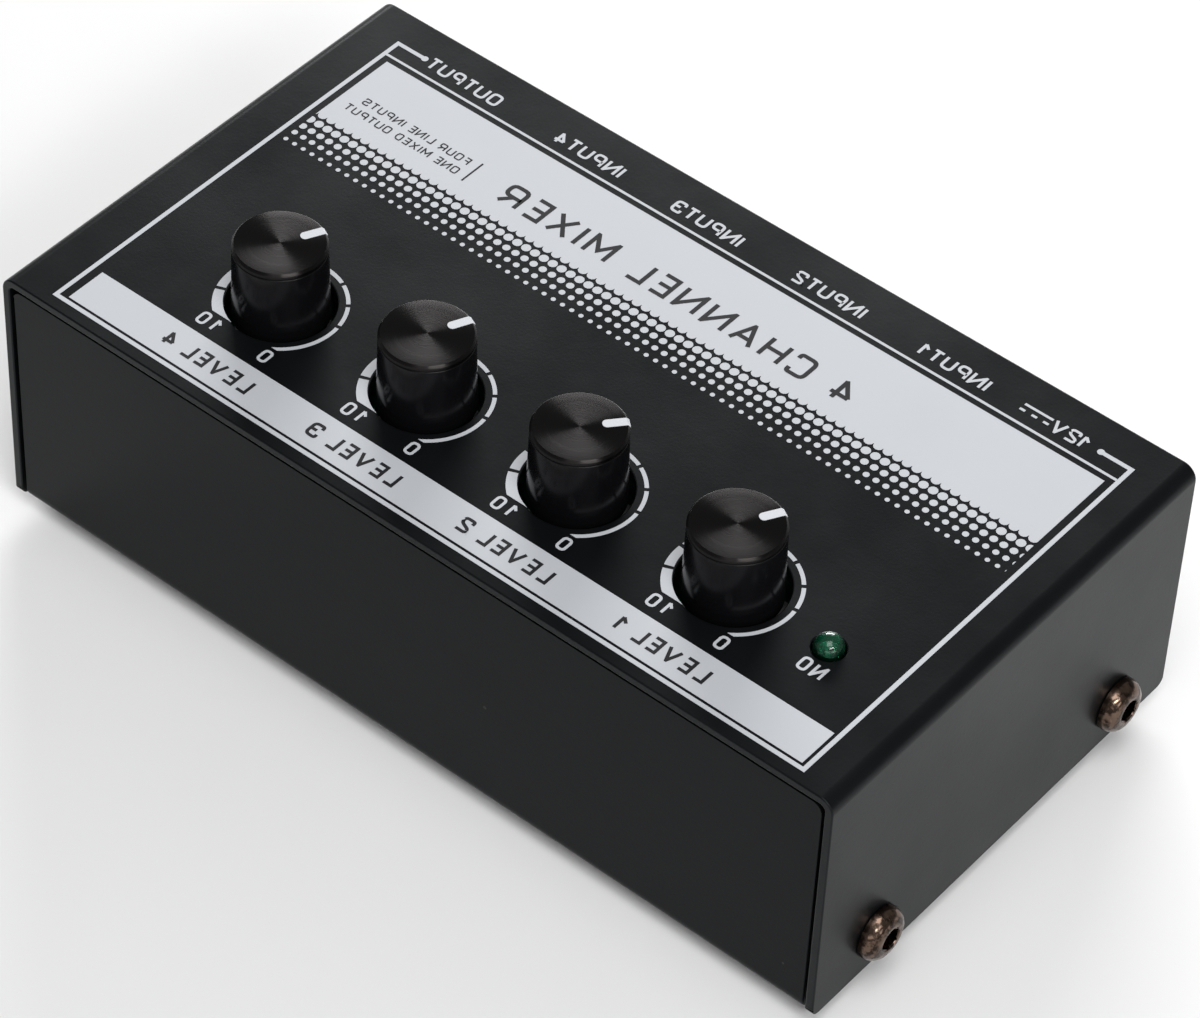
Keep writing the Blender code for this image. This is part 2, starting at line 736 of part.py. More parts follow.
def make_chips():
    """Eight-leg amplifier chips that hang below the board."""
    body = bmesh.new()
    top = -CHIP_STAND
    low = (-CHIP_HALF_X, -CHIP_HALF_Y, top - CHIP_H)
    add_block(body, low, (CHIP_HALF_X, CHIP_HALF_Y, top))
    legs = bmesh.new()
    leg_low = top - CHIP_H / 2
    for column in range(4):
        x = (column - 1.5) * CHIP_LEG_PITCH
        for side in (-1, 1):
            near, far = sorted((side * (CHIP_HALF_Y - CHIP_LEG), side * CHIP_LEG_OUT))
            low = (x - CHIP_LEG / 2, near, leg_low)
            add_block(legs, low, (x + CHIP_LEG / 2, far, -GAP))
    mesh = settled("amplifier_chip", body, [("UNION", legs)])
    for number, (x, y) in CHIP_PLACES.items():
        spot = (x, FRONT_Y + y, BOARD_UNDER_Z)
        place(f"amplifier_chip_{number}", mesh, black_moulding(), spot)


def make_capacitors():
    """Electrolytic cans, standing on the board's underside."""
    profile = [
        (0.0, 0.0),
        (CAN_R, 0.0),
        (CAN_R, CAN_GROOVE_Z - CAN_GROOVE),
        (CAN_R - CAN_GROOVE, CAN_GROOVE_Z),
        (CAN_R, CAN_GROOVE_Z + CAN_GROOVE),
        (CAN_R, CAN_H - CAN_EDGE),
        (CAN_R - CAN_EDGE, CAN_H),
        (0.0, CAN_H),
    ]
    mesh = mesh_from(turned(profile, 14), "capacitor")
    for number, (x, y) in CAN_PLACES.items():
        spot = (x, FRONT_Y + y, BOARD_UNDER_Z - GAP)
        place(f"capacitor_{number}", mesh, can_blue(), spot, (math.pi, 0.0, 0.0))


def make_regulator():
    """Small three-leg voltage regulator with one flat side."""
    outline = arc((0.0, 0.0), REGULATOR_R, -40, 220, 8)
    top = -REGULATOR_STAND
    body = pushed_outline([(x, y, top) for x, y in outline], (0.0, 0.0, -REGULATOR_H))
    legs = bmesh.new()
    for column in (-1, 0, 1):
        x = column * REGULATOR_LEG_PITCH
        low = (x - REGULATOR_LEG / 2, -REGULATOR_LEG / 2, top - REGULATOR_H / 4)
        add_block(legs, low, (x + REGULATOR_LEG / 2, REGULATOR_LEG / 2, -GAP))
    mesh = settled("regulator", body, [("UNION", legs)])
    x, y = REGULATOR_PLACE
    place("regulator", mesh, black_moulding(), (x, FRONT_Y + y, BOARD_UNDER_Z))


def main():
    remove_old_objects()
    make_cover()
    make_chassis()
    make_feet()
    make_side_screws()
    make_knobs()
    make_potentiometers()
    make_power_light()
    make_jacks()
    make_power_socket()
    make_board()
    make_pillars()
    make_chips()
    make_capacitors()
    make_regulator()


main()
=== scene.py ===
"""Visible pieces, finishes and studio for the four-channel line mixer.

Everything is in metres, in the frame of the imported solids: +X right, +Y back, +Z up.
The lettering is mirrored left to right, as the rest of the mixer is.
"""
import json
import math

import bmesh
import bpy
from mathutils import Euler, Matrix, Vector


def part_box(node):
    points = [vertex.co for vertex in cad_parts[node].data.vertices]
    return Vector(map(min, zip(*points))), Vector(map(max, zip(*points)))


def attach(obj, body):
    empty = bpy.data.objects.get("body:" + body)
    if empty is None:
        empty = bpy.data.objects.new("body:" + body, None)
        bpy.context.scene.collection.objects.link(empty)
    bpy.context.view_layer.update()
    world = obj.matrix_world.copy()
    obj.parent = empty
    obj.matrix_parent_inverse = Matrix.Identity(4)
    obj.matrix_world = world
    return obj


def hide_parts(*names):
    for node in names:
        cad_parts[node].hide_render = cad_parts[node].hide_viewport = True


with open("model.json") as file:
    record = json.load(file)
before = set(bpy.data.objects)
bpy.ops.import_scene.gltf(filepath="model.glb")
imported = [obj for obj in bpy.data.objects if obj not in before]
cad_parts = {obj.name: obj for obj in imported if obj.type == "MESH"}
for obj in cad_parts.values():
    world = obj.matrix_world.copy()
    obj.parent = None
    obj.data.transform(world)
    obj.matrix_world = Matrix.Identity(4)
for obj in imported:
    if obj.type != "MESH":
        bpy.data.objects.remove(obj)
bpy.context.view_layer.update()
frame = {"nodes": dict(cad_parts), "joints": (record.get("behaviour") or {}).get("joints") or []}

bl_info = {
    "name": "Line mixer",
    "version": (1, 0, 0),
    "blender": (4, 5, 0),
    "location": "3D View > Sidebar > Line mixer",
    "description": "Models the visible pieces, finishes and studio of a four-channel line mixer",
    "category": "Object",
}

MM = 0.001
BODY = "box"
CHANNELS = (1, 2, 3, 4)
SOCKETS = ("input_1", "input_2", "input_3", "input_4", "output")
SIDES = ("left", "right")
ENDS = ("front", "back")
MERGE = 1e-7
SMOOTH_ANGLE = 38.0

# Radii of the holes that no setting changes.
SIDE_SCREW_HOLE = 0.0022
BASE_SCREW_HOLE = 0.0017
JACK_HOLE = 0.0051
POWER_HOLE = 0.0042
# A socket's housing starts this far inside the outer face of the back.
HOUSING_FACE = -(0.0012 + 0.00025)

COVER_LOW, COVER_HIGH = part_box("cover")
CHASSIS_LOW, CHASSIS_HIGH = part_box("chassis")
TOP_Z = COVER_HIGH.z


# ---------------------------------------------------------------- settings


def distance(name, description, default, **more):
    return bpy.props.FloatProperty(
        name=name,
        description=description,
        default=default,
        precision=5,
        unit="LENGTH",
        subtype="DISTANCE",
        **more,
    )


def colour(name, description, default):
    return bpy.props.FloatVectorProperty(
        name=name,
        description=description,
        default=default,
        size=3,
        min=0.0,
        max=1.0,
        subtype="COLOR",
    )


def factor(name, description, default):
    return bpy.props.FloatProperty(
        name=name,
        description=description,
        default=default,
        min=0.0,
        max=1.0,
        subtype="FACTOR",
    )


class MixerSizes(bpy.types.PropertyGroup):
    sheet: distance("Sheet", "Thickness of the bent steel", 0.0012)
    bend: distance("Bend radius", "Outer radius of the bends", 0.0021)
    edge: distance("Paint edge", "Rounding the paint gives a cut edge", 0.00022)
    knob_hole: distance("Knob hole", "Radius of the holes round the knobs", 0.0072)
    light_hole: distance("Light hole", "Radius of the power light's hole", 0.0022)
    print_height: distance("Print height", "How far the print stands above the paint", 0.00004)
    dial_radius: distance("Dial radius", "Outer radius of the printed level arcs", 0.00877)
    pointer_width: distance("Pointer width", "Width of the white bar on a knob", 0.00128)
    pointer_start: distance("Pointer start", "Where the bar begins, from the middle", 0.00275)


class MixerFinishes(bpy.types.PropertyGroup):
    paint: colour("Paint", "Black powder paint", (0.0030, 0.0034, 0.0038))
    paint_roughness: factor("Paint roughness", "Roughness of the powder paint", 0.31)
    cover_gloss: factor("Cover gloss", "Specular level of the cover's paint", 0.145)
    # Painted shade: the chassis's lower gloss darkens its front face, standing in for shade on the
    # floor in front of the box.
    chassis_shaded_gloss: factor("Chassis gloss", "Specular level of the chassis's flatter paint", 0.08)
    print_white: colour("White print", "Silk-screened white", (0.505, 0.523, 0.555))
    print_black: colour("Dark print", "Words on the white bands", (0.018, 0.018, 0.020))
    knob: colour("Knob", "Moulded knob", (0.0032, 0.0033, 0.0038))
    cap: colour("Knob cap", "Turned and blackened metal", (0.0255, 0.0235, 0.0232))
    screw: colour("Screw", "Dark bronze plating", (0.145, 0.098, 0.074))
    lens: colour("Light lens", "Tinted lens of the power light", (0.018, 0.400, 0.190))


class MixerStage(bpy.types.PropertyGroup):
    camera_place: bpy.props.FloatVectorProperty(
        name="Camera place",
        description="Where the camera stands",
        default=(0.27640, -0.35560, 0.47759),
        size=3,
        precision=5,
        unit="LENGTH",
        subtype="TRANSLATION",
    )
    camera_turn: bpy.props.FloatVectorProperty(
        name="Camera turn",
        description="How the camera is turned",
        default=tuple(math.radians(angle) for angle in (44.2987, -1.6172, 40.1158)),
        size=3,
        precision=5,
        unit="ROTATION",
        subtype="EULER",
    )
    lens: bpy.props.FloatProperty(
        name="Lens",
        description="Focal length in millimetres",
        default=150.02,
    )
    floor: colour("Floor", "Pale floor", (0.86, 0.86, 0.86))
    surround: bpy.props.FloatProperty(
        name="Surround",
        description="Brightness of the pale room",
        default=0.25,
        min=0.0,
    )


def sizes():
    return bpy.context.scene.mixer_sizes


def finishes():
    return bpy.context.scene.mixer_finishes


# ---------------------------------------------------------------- shader groups


def link(tree, source, target):
    tree.links.new(source, target)


def node(tree, kind, **values):
    made = tree.nodes.new(kind)
    for key, value in values.items():
        setattr(made, key, value)
    return made


def maths(tree, operation, first, second=None):
    """Math node whose inputs are sockets or numbers; gives its output."""
    made = node(tree, "ShaderNodeMath", operation=operation)
    for socket, value in zip(made.inputs, (first, second)):
        if isinstance(value, bpy.types.NodeSocket):
            link(tree, value, socket)
        elif value is not None:
            socket.default_value = value
    return made.outputs[0]


def spread(tree, value, low_in, high_in, low_out, high_out):
    """Map Range node on a socket; gives its output."""
    made = node(tree, "ShaderNodeMapRange")
    link(tree, value, made.inputs["Value"])
    made.inputs["From Min"].default_value = low_in
    made.inputs["From Max"].default_value = high_in
    made.inputs["To Min"].default_value = low_out
    made.inputs["To Max"].default_value = high_out
    return made.outputs["Result"]


def new_group(name, inputs, outputs):
    """Shader node group with named float or vector sockets."""
    group = bpy.data.node_groups.new(name, "ShaderNodeTree")
    for title, kind, default in inputs:
        socket = group.interface.new_socket(title, in_out="INPUT", socket_type=kind)
        if default is not None:
            socket.default_value = default
    for title in outputs:
        group.interface.new_socket(title, in_out="OUTPUT", socket_type="NodeSocketFloat")
    return group, group.nodes.new("NodeGroupInput"), group.nodes.new("NodeGroupOutput")


def noise(tree, vector, scale, detail=2.0, roughness=0.5):
    """Noise texture whose size comes from a socket or a number; gives its value."""
    made = node(tree, "ShaderNodeTexNoise")
    link(tree, vector, made.inputs["Vector"])
    if isinstance(scale, bpy.types.NodeSocket):
        link(tree, scale, made.inputs["Scale"])
    else:
        made.inputs["Scale"].default_value = scale
    made.inputs["Detail"].default_value = detail
    made.inputs["Roughness"].default_value = roughness
    return made.outputs["Fac"]


def grain_group():
    """Grain of paint or a moulding: a bump height, a slow mottle and rare pale specks."""
    found = bpy.data.node_groups.get("surface_grain")
    if found:
        return found
    group, start, end = new_group(
        "surface_grain",
        [
            ("Vector", "NodeSocketVector", None),
            ("Grains per metre", "NodeSocketFloat", 2600.0),
            ("Specks per metre", "NodeSocketFloat", 420.0),
        ],
        ("Height", "Mottle", "Specks"),
    )
    vector = start.outputs["Vector"]
    fine = noise(group, vector, start.outputs["Grains per metre"], 2.0, 0.55)
    coarse = noise(group, vector, 900.0, 1.0)
    height = maths(group, "ADD", fine, maths(group, "MULTIPLY", coarse, 0.6))
    link(group, height, end.inputs["Height"])
    slow = noise(group, vector, 38.0, 4.0, 0.6)
    link(group, spread(group, slow, 0.32, 0.68, 0.0, 1.0), end.inputs["Mottle"])
    cells = node(group, "ShaderNodeTexVoronoi", feature="F1")
    link(group, vector, cells.inputs["Vector"])
    link(group, start.outputs["Specks per metre"], cells.inputs["Scale"])
    near = maths(group, "LESS_THAN", cells.outputs["Distance"], 0.11)
    shade = node(group, "ShaderNodeSeparateColor")
    link(group, cells.outputs["Color"], shade.inputs["Color"])
    rare = maths(group, "GREATER_THAN", shade.outputs["Red"], 0.985)
    link(group, maths(group, "MULTIPLY", near, rare), end.inputs["Specks"])
    return group


def wear_group():
    """Wear and handling: soft smudges and short fine scratches, as two masks."""
    found = bpy.data.node_groups.get("handling_wear")
    if found:
        return found
    group, start, end = new_group(
        "handling_wear",
        [("Vector", "NodeSocketVector", None), ("Smudges per metre", "NodeSocketFloat", 60.0)],
        ("Smudge", "Scratch"),
    )
    vector = start.outputs["Vector"]
    broad = noise(group, vector, start.outputs["Smudges per metre"], 3.0, 0.6)
    link(group, spread(group, broad, 0.45, 0.75, 0.0, 1.0), end.inputs["Smudge"])
    turn = node(group, "ShaderNodeMapping")
    link(group, vector, turn.inputs["Vector"])
    turn.inputs["Rotation"].default_value = (0.0, 0.0, 0.6)
    turn.inputs["Scale"].default_value = (1.0, 14.0, 1.0)
    thin = noise(group, turn.outputs["Vector"], 160.0, 2.0, 0.5)
    line = maths(group, "COMPARE", thin, 0.5)
    line.node.inputs[2].default_value = 0.006
    where = maths(group, "GREATER_THAN", noise(group, vector, 95.0, 1.0), 0.60)
    link(group, maths(group, "MULTIPLY", line, where), end.inputs["Scratch"])
    return group


def axis_distance(tree, vector):
    """How far a coordinate lies from the Z axis."""
    parts = node(tree, "ShaderNodeSeparateXYZ")
    link(tree, vector, parts.inputs[0])
    squares = [maths(tree, "POWER", parts.outputs[axis], 2.0) for axis in ("X", "Y")]
    return maths(tree, "SQRT", maths(tree, "ADD", *squares))


def rings_group():
    """Turning marks about the Z axis of the incoming vector: ring height and streak."""
    found = bpy.data.node_groups.get("turning_marks")
    if found:
        return found
    group, start, end = new_group(
        "turning_marks",
        [("Vector", "NodeSocketVector", None), ("Rings per metre", "NodeSocketFloat", 9000.0)],
        ("Height", "Streak"),
    )
    radius = axis_distance(group, start.outputs["Vector"])
    line = node(group, "ShaderNodeCombineXYZ")
    link(group, radius, line.inputs["X"])
    marks = noise(group, line.outputs[0], start.outputs["Rings per metre"], 3.0, 0.7)
    link(group, marks, end.inputs["Height"])
    broad = noise(group, line.outputs[0], 1400.0, 2.0, 0.6)
    link(group, spread(group, broad, 0.35, 0.65, 0.0, 1.0), end.inputs["Streak"])
    return group


# ---------------------------------------------------------------- finishes


class Finish:
    """One material: its tree, its Principled shader and the Object coordinates."""

    def __init__(self, name, base, roughness, metallic=0.0, centre=(0.0, 0.0, 0.0)):
        self.material = bpy.data.materials.new(name)
        self.material.use_nodes = True
        self.tree = self.material.node_tree
        self.shader = self.tree.nodes["Principled BSDF"]
        self.base = base
        self.set("Base Color", (*base, 1.0))
        self.set("Roughness", roughness)
        self.set("Metallic", metallic)
        coordinates = node(self.tree, "ShaderNodeTexCoord")
        mapping = node(self.tree, "ShaderNodeMapping")
        mapping.inputs["Location"].default_value = [-value for value in centre]
        link(self.tree, coordinates.outputs["Object"], mapping.inputs["Vector"])
        self.vector = mapping.outputs["Vector"]

    def set(self, socket, value):
        self.shader.inputs[socket].default_value = value

    def group(self, group, **values):
        """Place a node group on the piece's coordinates; underscores stand for spaces."""
        made = node(self.tree, "ShaderNodeGroup", node_tree=group)
        link(self.tree, self.vector, made.inputs["Vector"])
        for key, value in values.items():
            made.inputs[key.replace("_", " ")].default_value = value
        return made.outputs

    def vary_roughness(self, mask, low, high):
        varied = spread(self.tree, mask, 0.0, 1.0, low, high)
        link(self.tree, varied, self.shader.inputs["Roughness"])

    def vary_colour(self, masks):
        """Mix the base colour towards others by masks: pairs of a socket and a colour."""
        source = None
        for mask, other in masks:
            mix = node(self.tree, "ShaderNodeMix", data_type="RGBA")
            link(self.tree, mask, mix.inputs["Factor"])
            if source is None:
                mix.inputs[6].default_value = (*self.base, 1.0)
            else:
                link(self.tree, source, mix.inputs[6])
            mix.inputs[7].default_value = (*other, 1.0)
            source = mix.outputs[2]
        link(self.tree, source, self.shader.inputs["Base Color"])

    def bump(self, height, strength, depth):
        made = node(self.tree, "ShaderNodeBump")
        made.inputs["Strength"].default_value = strength
        made.inputs["Distance"].default_value = depth
        link(self.tree, height, made.inputs["Height"])
        link(self.tree, made.outputs["Normal"], self.shader.inputs["Normal"])


def lighter(base, amount):
    return tuple(min(1.0, channel * amount) for channel in base)


def existing(name):
    return bpy.data.materials.get(name)


def powder_paint(part, gloss):
    """Satin black powder paint: a shallow orange peel, slow mottle, rare dust."""
    name = f"black_powder_paint_{part}"
    found = existing(name)
    if found:
        return found
    base = tuple(finishes().paint)
    finish = Finish(name, base, finishes().paint_roughness)
    grain = finish.group(grain_group())
    wear = finish.group(wear_group())
    finish.vary_colour(
        [
            (grain["Mottle"], lighter(base, 1.25)),
            (wear["Smudge"], lighter(base, 1.35)),
            (grain["Specks"], (0.03, 0.03, 0.03)),
        ]
    )
    rough = finishes().paint_roughness
    finish.vary_roughness(grain["Mottle"], rough - 0.03, rough + 0.05)
    finish.bump(grain["Height"], 0.22, 0.00004)
    finish.set("Specular IOR Level", gloss)
    finish.set("Specular Tint", (0.88, 0.97, 1.0, 1.0))
    return finish.material


def moulding(name, base, roughness, grains=3200.0, depth=0.00003):
    """Plain plastic or rubber with its mould grain."""
    found = existing(name)
    if found:
        return found
    finish = Finish(name, base, roughness)
    grain = finish.group(grain_group(), Grains_per_metre=grains)
    finish.vary_colour([(grain["Mottle"], lighter(base, 1.3))])
    finish.vary_roughness(grain["Mottle"], roughness - 0.04, roughness + 0.05)
    finish.bump(grain["Height"], 0.2, depth)
    return finish.material


def plated(name, base, roughness, centre=(0.0, 0.0, 0.0)):
    """Plated metal with faint mottle and fine handling scratches."""
    found = existing(name)
    if found:
        return found
    finish = Finish(name, base, roughness, 1.0, centre)
    grain = finish.group(grain_group(), Grains_per_metre=5200.0)
    wear = finish.group(wear_group(), Smudges_per_metre=220.0)
    finish.vary_colour(
        [(wear["Smudge"], lighter(base, 0.82)), (wear["Scratch"], lighter(base, 1.2))]
    )
    finish.vary_roughness(grain["Mottle"], roughness - 0.04, roughness + 0.07)
    finish.bump(grain["Height"], 0.12, 0.00002)
    return finish.material


def ink(name, base, roughness, gloss=0.4):
    """Screen-print ink, which shows the paint's orange peel through it."""
    found = existing(name)
    if found:
        return found
    finish = Finish(name, base, roughness)
    grain = finish.group(grain_group())
    wear = finish.group(wear_group())
    finish.vary_colour(
        [(grain["Mottle"], lighter(base, 0.985)), (wear["Smudge"], lighter(base, 0.975))]
    )
    finish.vary_roughness(grain["Mottle"], roughness - 0.03, roughness + 0.05)
    finish.bump(grain["Height"], 0.16, 0.00003)
    finish.set("Specular IOR Level", gloss)
    return finish.material


def white_ink():
    return ink("white_print", tuple(finishes().print_white), 0.42)


def dark_ink():
    return ink("dark_print", tuple(finishes().print_black), 0.55, 0.12)


# ---------------------------------------------------------------- modelling helpers


def scratch_object(name, bm):
    mesh = bpy.data.meshes.new(name)
    bm.to_mesh(mesh)
    bm.free()
    made = bpy.data.objects.new(name, mesh)
    bpy.context.collection.objects.link(made)
    return made


def evaluated(obj, others=()):
    """bmesh of an object with its modifiers applied; the objects are removed."""
    result = bmesh.new()
    result.from_object(obj, bpy.context.evaluated_depsgraph_get())
    for spare in (obj, *others):
        mesh = spare.data
        bpy.data.objects.remove(spare, do_unlink=True)
        bpy.data.meshes.remove(mesh)
    return result


def carved(bm, other_bm, operation="DIFFERENCE"):
    """Exact Boolean of two bmeshes; both are used up."""
    for one in (bm, other_bm):
        bmesh.ops.recalc_face_normals(one, faces=one.faces)
    shape = scratch_object("shape", bm)
    other = scratch_object("other", other_bm)
    modifier = shape.modifiers.new("carve", "BOOLEAN")
    modifier.operation = operation
    modifier.object = other
    modifier.solver = "EXACT"
    return evaluated(shape, (other,))


def arc(centre, radius, start, end, steps):
    angles = [math.radians(start + (end - start) * i / steps) for i in range(steps + 1)]
    return [(centre[0] + radius * math.cos(a), centre[1] + radius * math.sin(a)) for a in angles]


def lift(bm, extruded, direction):
    """Move the far vertices that an extrusion has just made."""
    verts = [item for item in extruded["geom"] if isinstance(item, bmesh.types.BMVert)]
    bmesh.ops.translate(bm, verts=verts, vec=direction)


def pushed(outline, direction):
    """Closed solid from a flat outline of 3-D points pushed along a direction."""
    bm = bmesh.new()
    face = bm.faces.new([bm.verts.new(point) for point in outline])
    lift(bm, bmesh.ops.extrude_face_region(bm, geom=[face]), direction)
    return bm


def turned(profile, steps):
    """Solid turned about Z from (radius, height) points, top of the axis first."""
    bm = bmesh.new()
    points = [bm.verts.new((radius, 0.0, height)) for radius, height in profile]
    edges = [bm.edges.new(pair) for pair in zip(points, points[1:])]
    if profile[0][0] > 0.0 or profile[-1][0] > 0.0:
        edges.append(bm.edges.new((points[-1], points[0])))
    bmesh.ops.spin(
        bm,
        geom=points + edges,
        cent=(0.0, 0.0, 0.0),
        axis=(0.0, 0.0, 1.0),
        angle=math.tau,
        steps=steps,
        use_merge=True,
    )
    bmesh.ops.remove_doubles(bm, verts=bm.verts, dist=MERGE)
    return bm


def rod(bm, centre, radius, length, sides, turn=None):
    """Add a straight rod along Z, or turned by a matrix."""
    bmesh.ops.create_cone(
        bm,
        cap_ends=True,
        segments=sides,
        radius1=radius,
        radius2=radius,
        depth=length,
        matrix=Matrix.Translation(centre) @ (turn or Matrix.Identity(4)),
    )


def block(bm, low, high):
    """Add a box between two corners."""
    size = [b - a for a, b in zip(low, high)]
    middle = [(a + b) / 2 for a, b in zip(low, high)]
    matrix = Matrix.Translation(middle) @ Matrix.Diagonal((*size, 1.0))
    bmesh.ops.create_cube(bm, size=1.0, matrix=matrix)


def soften(bm, edges, width, segments):
    """Round some edges."""
    bmesh.ops.bevel(
        bm,
        geom=edges,
        offset=width,
        segments=segments,
        profile=0.5,
        affect="EDGES",
        material=-1,
    )


def edges_on(bm, test):
    """Edges whose two ends both pass a test on their position."""
    return [edge for edge in bm.edges if all(test(vert.co) for vert in edge.verts)]


def near(first, second, tolerance=2e-6):
    return abs(first - second) < tolerance


def edges_at(bm, test, level_axis):
    """Edges whose two ends pass a test and share one coordinate (0 for X, 1 for Y)."""
    return [
        edge
        for edge in edges_on(bm, test)
        if near(edge.verts[0].co[level_axis], edge.verts[1].co[level_axis])
    ]


def cut_away(bm, plane, direction):
    """Cut off what lies past a plane; gives the cut edges."""
    cut = bmesh.ops.bisect_plane(
        bm,
        geom=bm.verts[:] + bm.edges[:] + bm.faces[:],
        dist=MERGE,
        plane_co=plane,
        plane_no=direction,
        clear_outer=True,
    )
    return [item for item in cut["geom_cut"] if isinstance(item, bmesh.types.BMEdge)]


def moved(bm, place=(0.0, 0.0, 0.0), turn=None):
    bmesh.ops.transform(
        bm, matrix=Matrix.Translation(place) @ (turn or Matrix.Identity(4)), verts=bm.verts
    )
    return bm


def copy_into(target, source):
    """Add one bmesh's geometry to another; the source is used up."""
    mesh = bpy.data.meshes.new("part")
    source.to_mesh(mesh)
    source.free()
    target.from_mesh(mesh)
    bpy.data.meshes.remove(mesh)


TO_BACK = Matrix.Rotation(math.radians(-90), 4, "X")


def piece(name, bm, finish, body=BODY, stands_for=(), flats=False, merge=MERGE):
    """Finish a bmesh as one named piece that rides on a body."""
    if merge:
        bmesh.ops.remove_doubles(bm, verts=bm.verts, dist=merge)
    bmesh.ops.recalc_face_normals(bm, faces=bm.faces)
    mesh = bpy.data.meshes.new(name)
    bm.to_mesh(mesh)
    bm.free()
    mesh.shade_smooth()
    mesh.set_sharp_from_angle(angle=math.radians(SMOOTH_ANGLE))
    mesh.materials.append(finish)
    made = bpy.data.objects.new(name, mesh)
    bpy.context.collection.objects.link(made)
    if flats:
        weighted = made.modifiers.new("flats", "WEIGHTED_NORMAL")
        weighted.keep_sharp = True
    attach(made, body)
    if stands_for:
        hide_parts(*stands_for)
    return made


def panel_point(x_mm, y_mm, height=0.0):
    """Place on the cover's top, counted in millimetres from its front left corner."""
    return Vector((COVER_LOW.x + x_mm * MM, COVER_LOW.y + y_mm * MM, TOP_Z + height))


def box_middle(name):
    low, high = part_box(name)
    return (low + high) / 2


def side_screw_holes(cutter, side, outer):
    """Add the two screw holes of one side to a cutter."""
    across = Matrix.Rotation(math.radians(90), 4, "Y")
    for end in ENDS:
        middle = box_middle(f"screw_{side}_{end}")
        place = (math.copysign(outer, middle.x), middle.y, middle.z)
        rod(cutter, place, SIDE_SCREW_HOLE, 4 * sizes().sheet, 24, across)


def knob_place(channel):
    middle = box_middle(f"pot_body_{channel}")
    return Vector((middle.x, middle.y, TOP_Z))


def joint_of(channel):
    return next(j for j in frame["joints"] if j["child"] == f"knob_{channel}_set")


def pointer_angle(channel):
    """Direction of a knob's bar at rest, from its joint's travel between -60 and 240 degrees."""
    return math.radians(-60.0 - joint_of(channel)["range_deg"][0])


# ---------------------------------------------------------------- lettering


# Each character's width as a share of its height, and its strokes in a unit cell.
GLYPHS = {
    "0": (0.72, [[(0, 0), (1, 0), (1, 1), (0, 1), (0, 0)]]),
    "O": (0.78, [[(0, 0), (1, 0), (1, 1), (0, 1), (0, 0)]]),
    "1": (0.46, [[(0, 0.66), (1, 1)], [(1, 1), (1, 0)]]),
    "2": (0.72, [[(0, 0.72), (0, 1), (1, 1), (1, 0.58), (0, 0.30), (0, 0), (1, 0)]]),
    "3": (
        0.72,
        [[(0, 0.74), (0, 1), (1, 1), (1, 0), (0, 0), (0, 0.26)], [(0.35, 0.52), (1, 0.52)]],
    ),
    "4": (0.78, [[(0.70, 0), (0.70, 1)], [(0.74, 1), (0, 0.27)], [(0, 0.27), (1, 0.27)]]),
    "A": (0.85, [[(0, 0), (0.5, 1), (1, 0)], [(0.2, 0.3), (0.8, 0.3)]]),
    "C": (0.74, [[(1, 0.78), (1, 1), (0, 1), (0, 0), (1, 0), (1, 0.22)]]),
    "D": (0.78, [[(0, 0), (0.6, 0), (1, 0.25), (1, 0.75), (0.6, 1), (0, 1), (0, 0)]]),
    "E": (0.67, [[(1, 1), (0, 1), (0, 0), (1, 0)], [(0, 0.5), (0.9, 0.5)]]),
    "F": (0.66, [[(1, 1), (0, 1), (0, 0)], [(0, 0.5), (0.9, 0.5)]]),
    "H": (0.80, [[(0, 0), (0, 1)], [(1, 0), (1, 1)], [(0, 0.5), (1, 0.5)]]),
    "I": (0.0, [[(0, 0), (0, 1)]]),
    "L": (0.66, [[(0, 1), (0, 0), (1, 0)]]),
    "M": (0.95, [[(0, 0), (0, 1), (0.5, 0.3), (1, 1), (1, 0)]]),
    "N": (0.84, [[(0, 0), (0, 1), (1, 0), (1, 1)]]),
    "P": (0.75, [[(0, 0), (0, 1), (1, 1), (1, 0.42), (0, 0.42)]]),
    "R": (0.78, [[(0, 0), (0, 1), (1, 1), (1, 0.44), (0, 0.44)], [(0.45, 0.44), (1, 0)]]),
    "S": (0.74, [[(1, 0.80), (1, 1), (0, 1), (0, 0.52), (1, 0.52), (1, 0), (0, 0), (0, 0.2)]]),
    "T": (0.71, [[(0, 1), (1, 1)], [(0.5, 1), (0.5, 0)]]),
    "U": (0.78, [[(0, 1), (0, 0), (1, 0), (1, 1)]]),
    "V": (0.82, [[(0, 1), (0.5, 0), (1, 1)]]),
    "X": (0.80, [[(0, 0), (1, 1)], [(0, 1), (1, 0)]]),
}
ROUND_GLYPHS = "0O23PURCSD"
CORNER_STEPS = 4
# Crossing strokes are layered by this much, so no two printed faces share a plane.
INK_LAYER = 0.000004


def rounded(points, radius, closed):
    """Polyline with its corners rounded."""
    count = len(points)
    result = []
    for index, corner in enumerate(points):
        if not closed and index in (0, count - 1):
            result.append(corner)
            continue
        before, after = points[index - 1], points[(index + 1) % count]
        reach = min(radius, (before - corner).length / 2, (after - corner).length / 2)
        start = corner + (before - corner).normalized() * reach
        end = corner + (after - corner).normalized() * reach
        for step in range(CORNER_STEPS + 1):
            t = step / CORNER_STEPS
            result.append(start * (1 - t) ** 2 + corner * (2 * t * (1 - t)) + end * t**2)
    return result


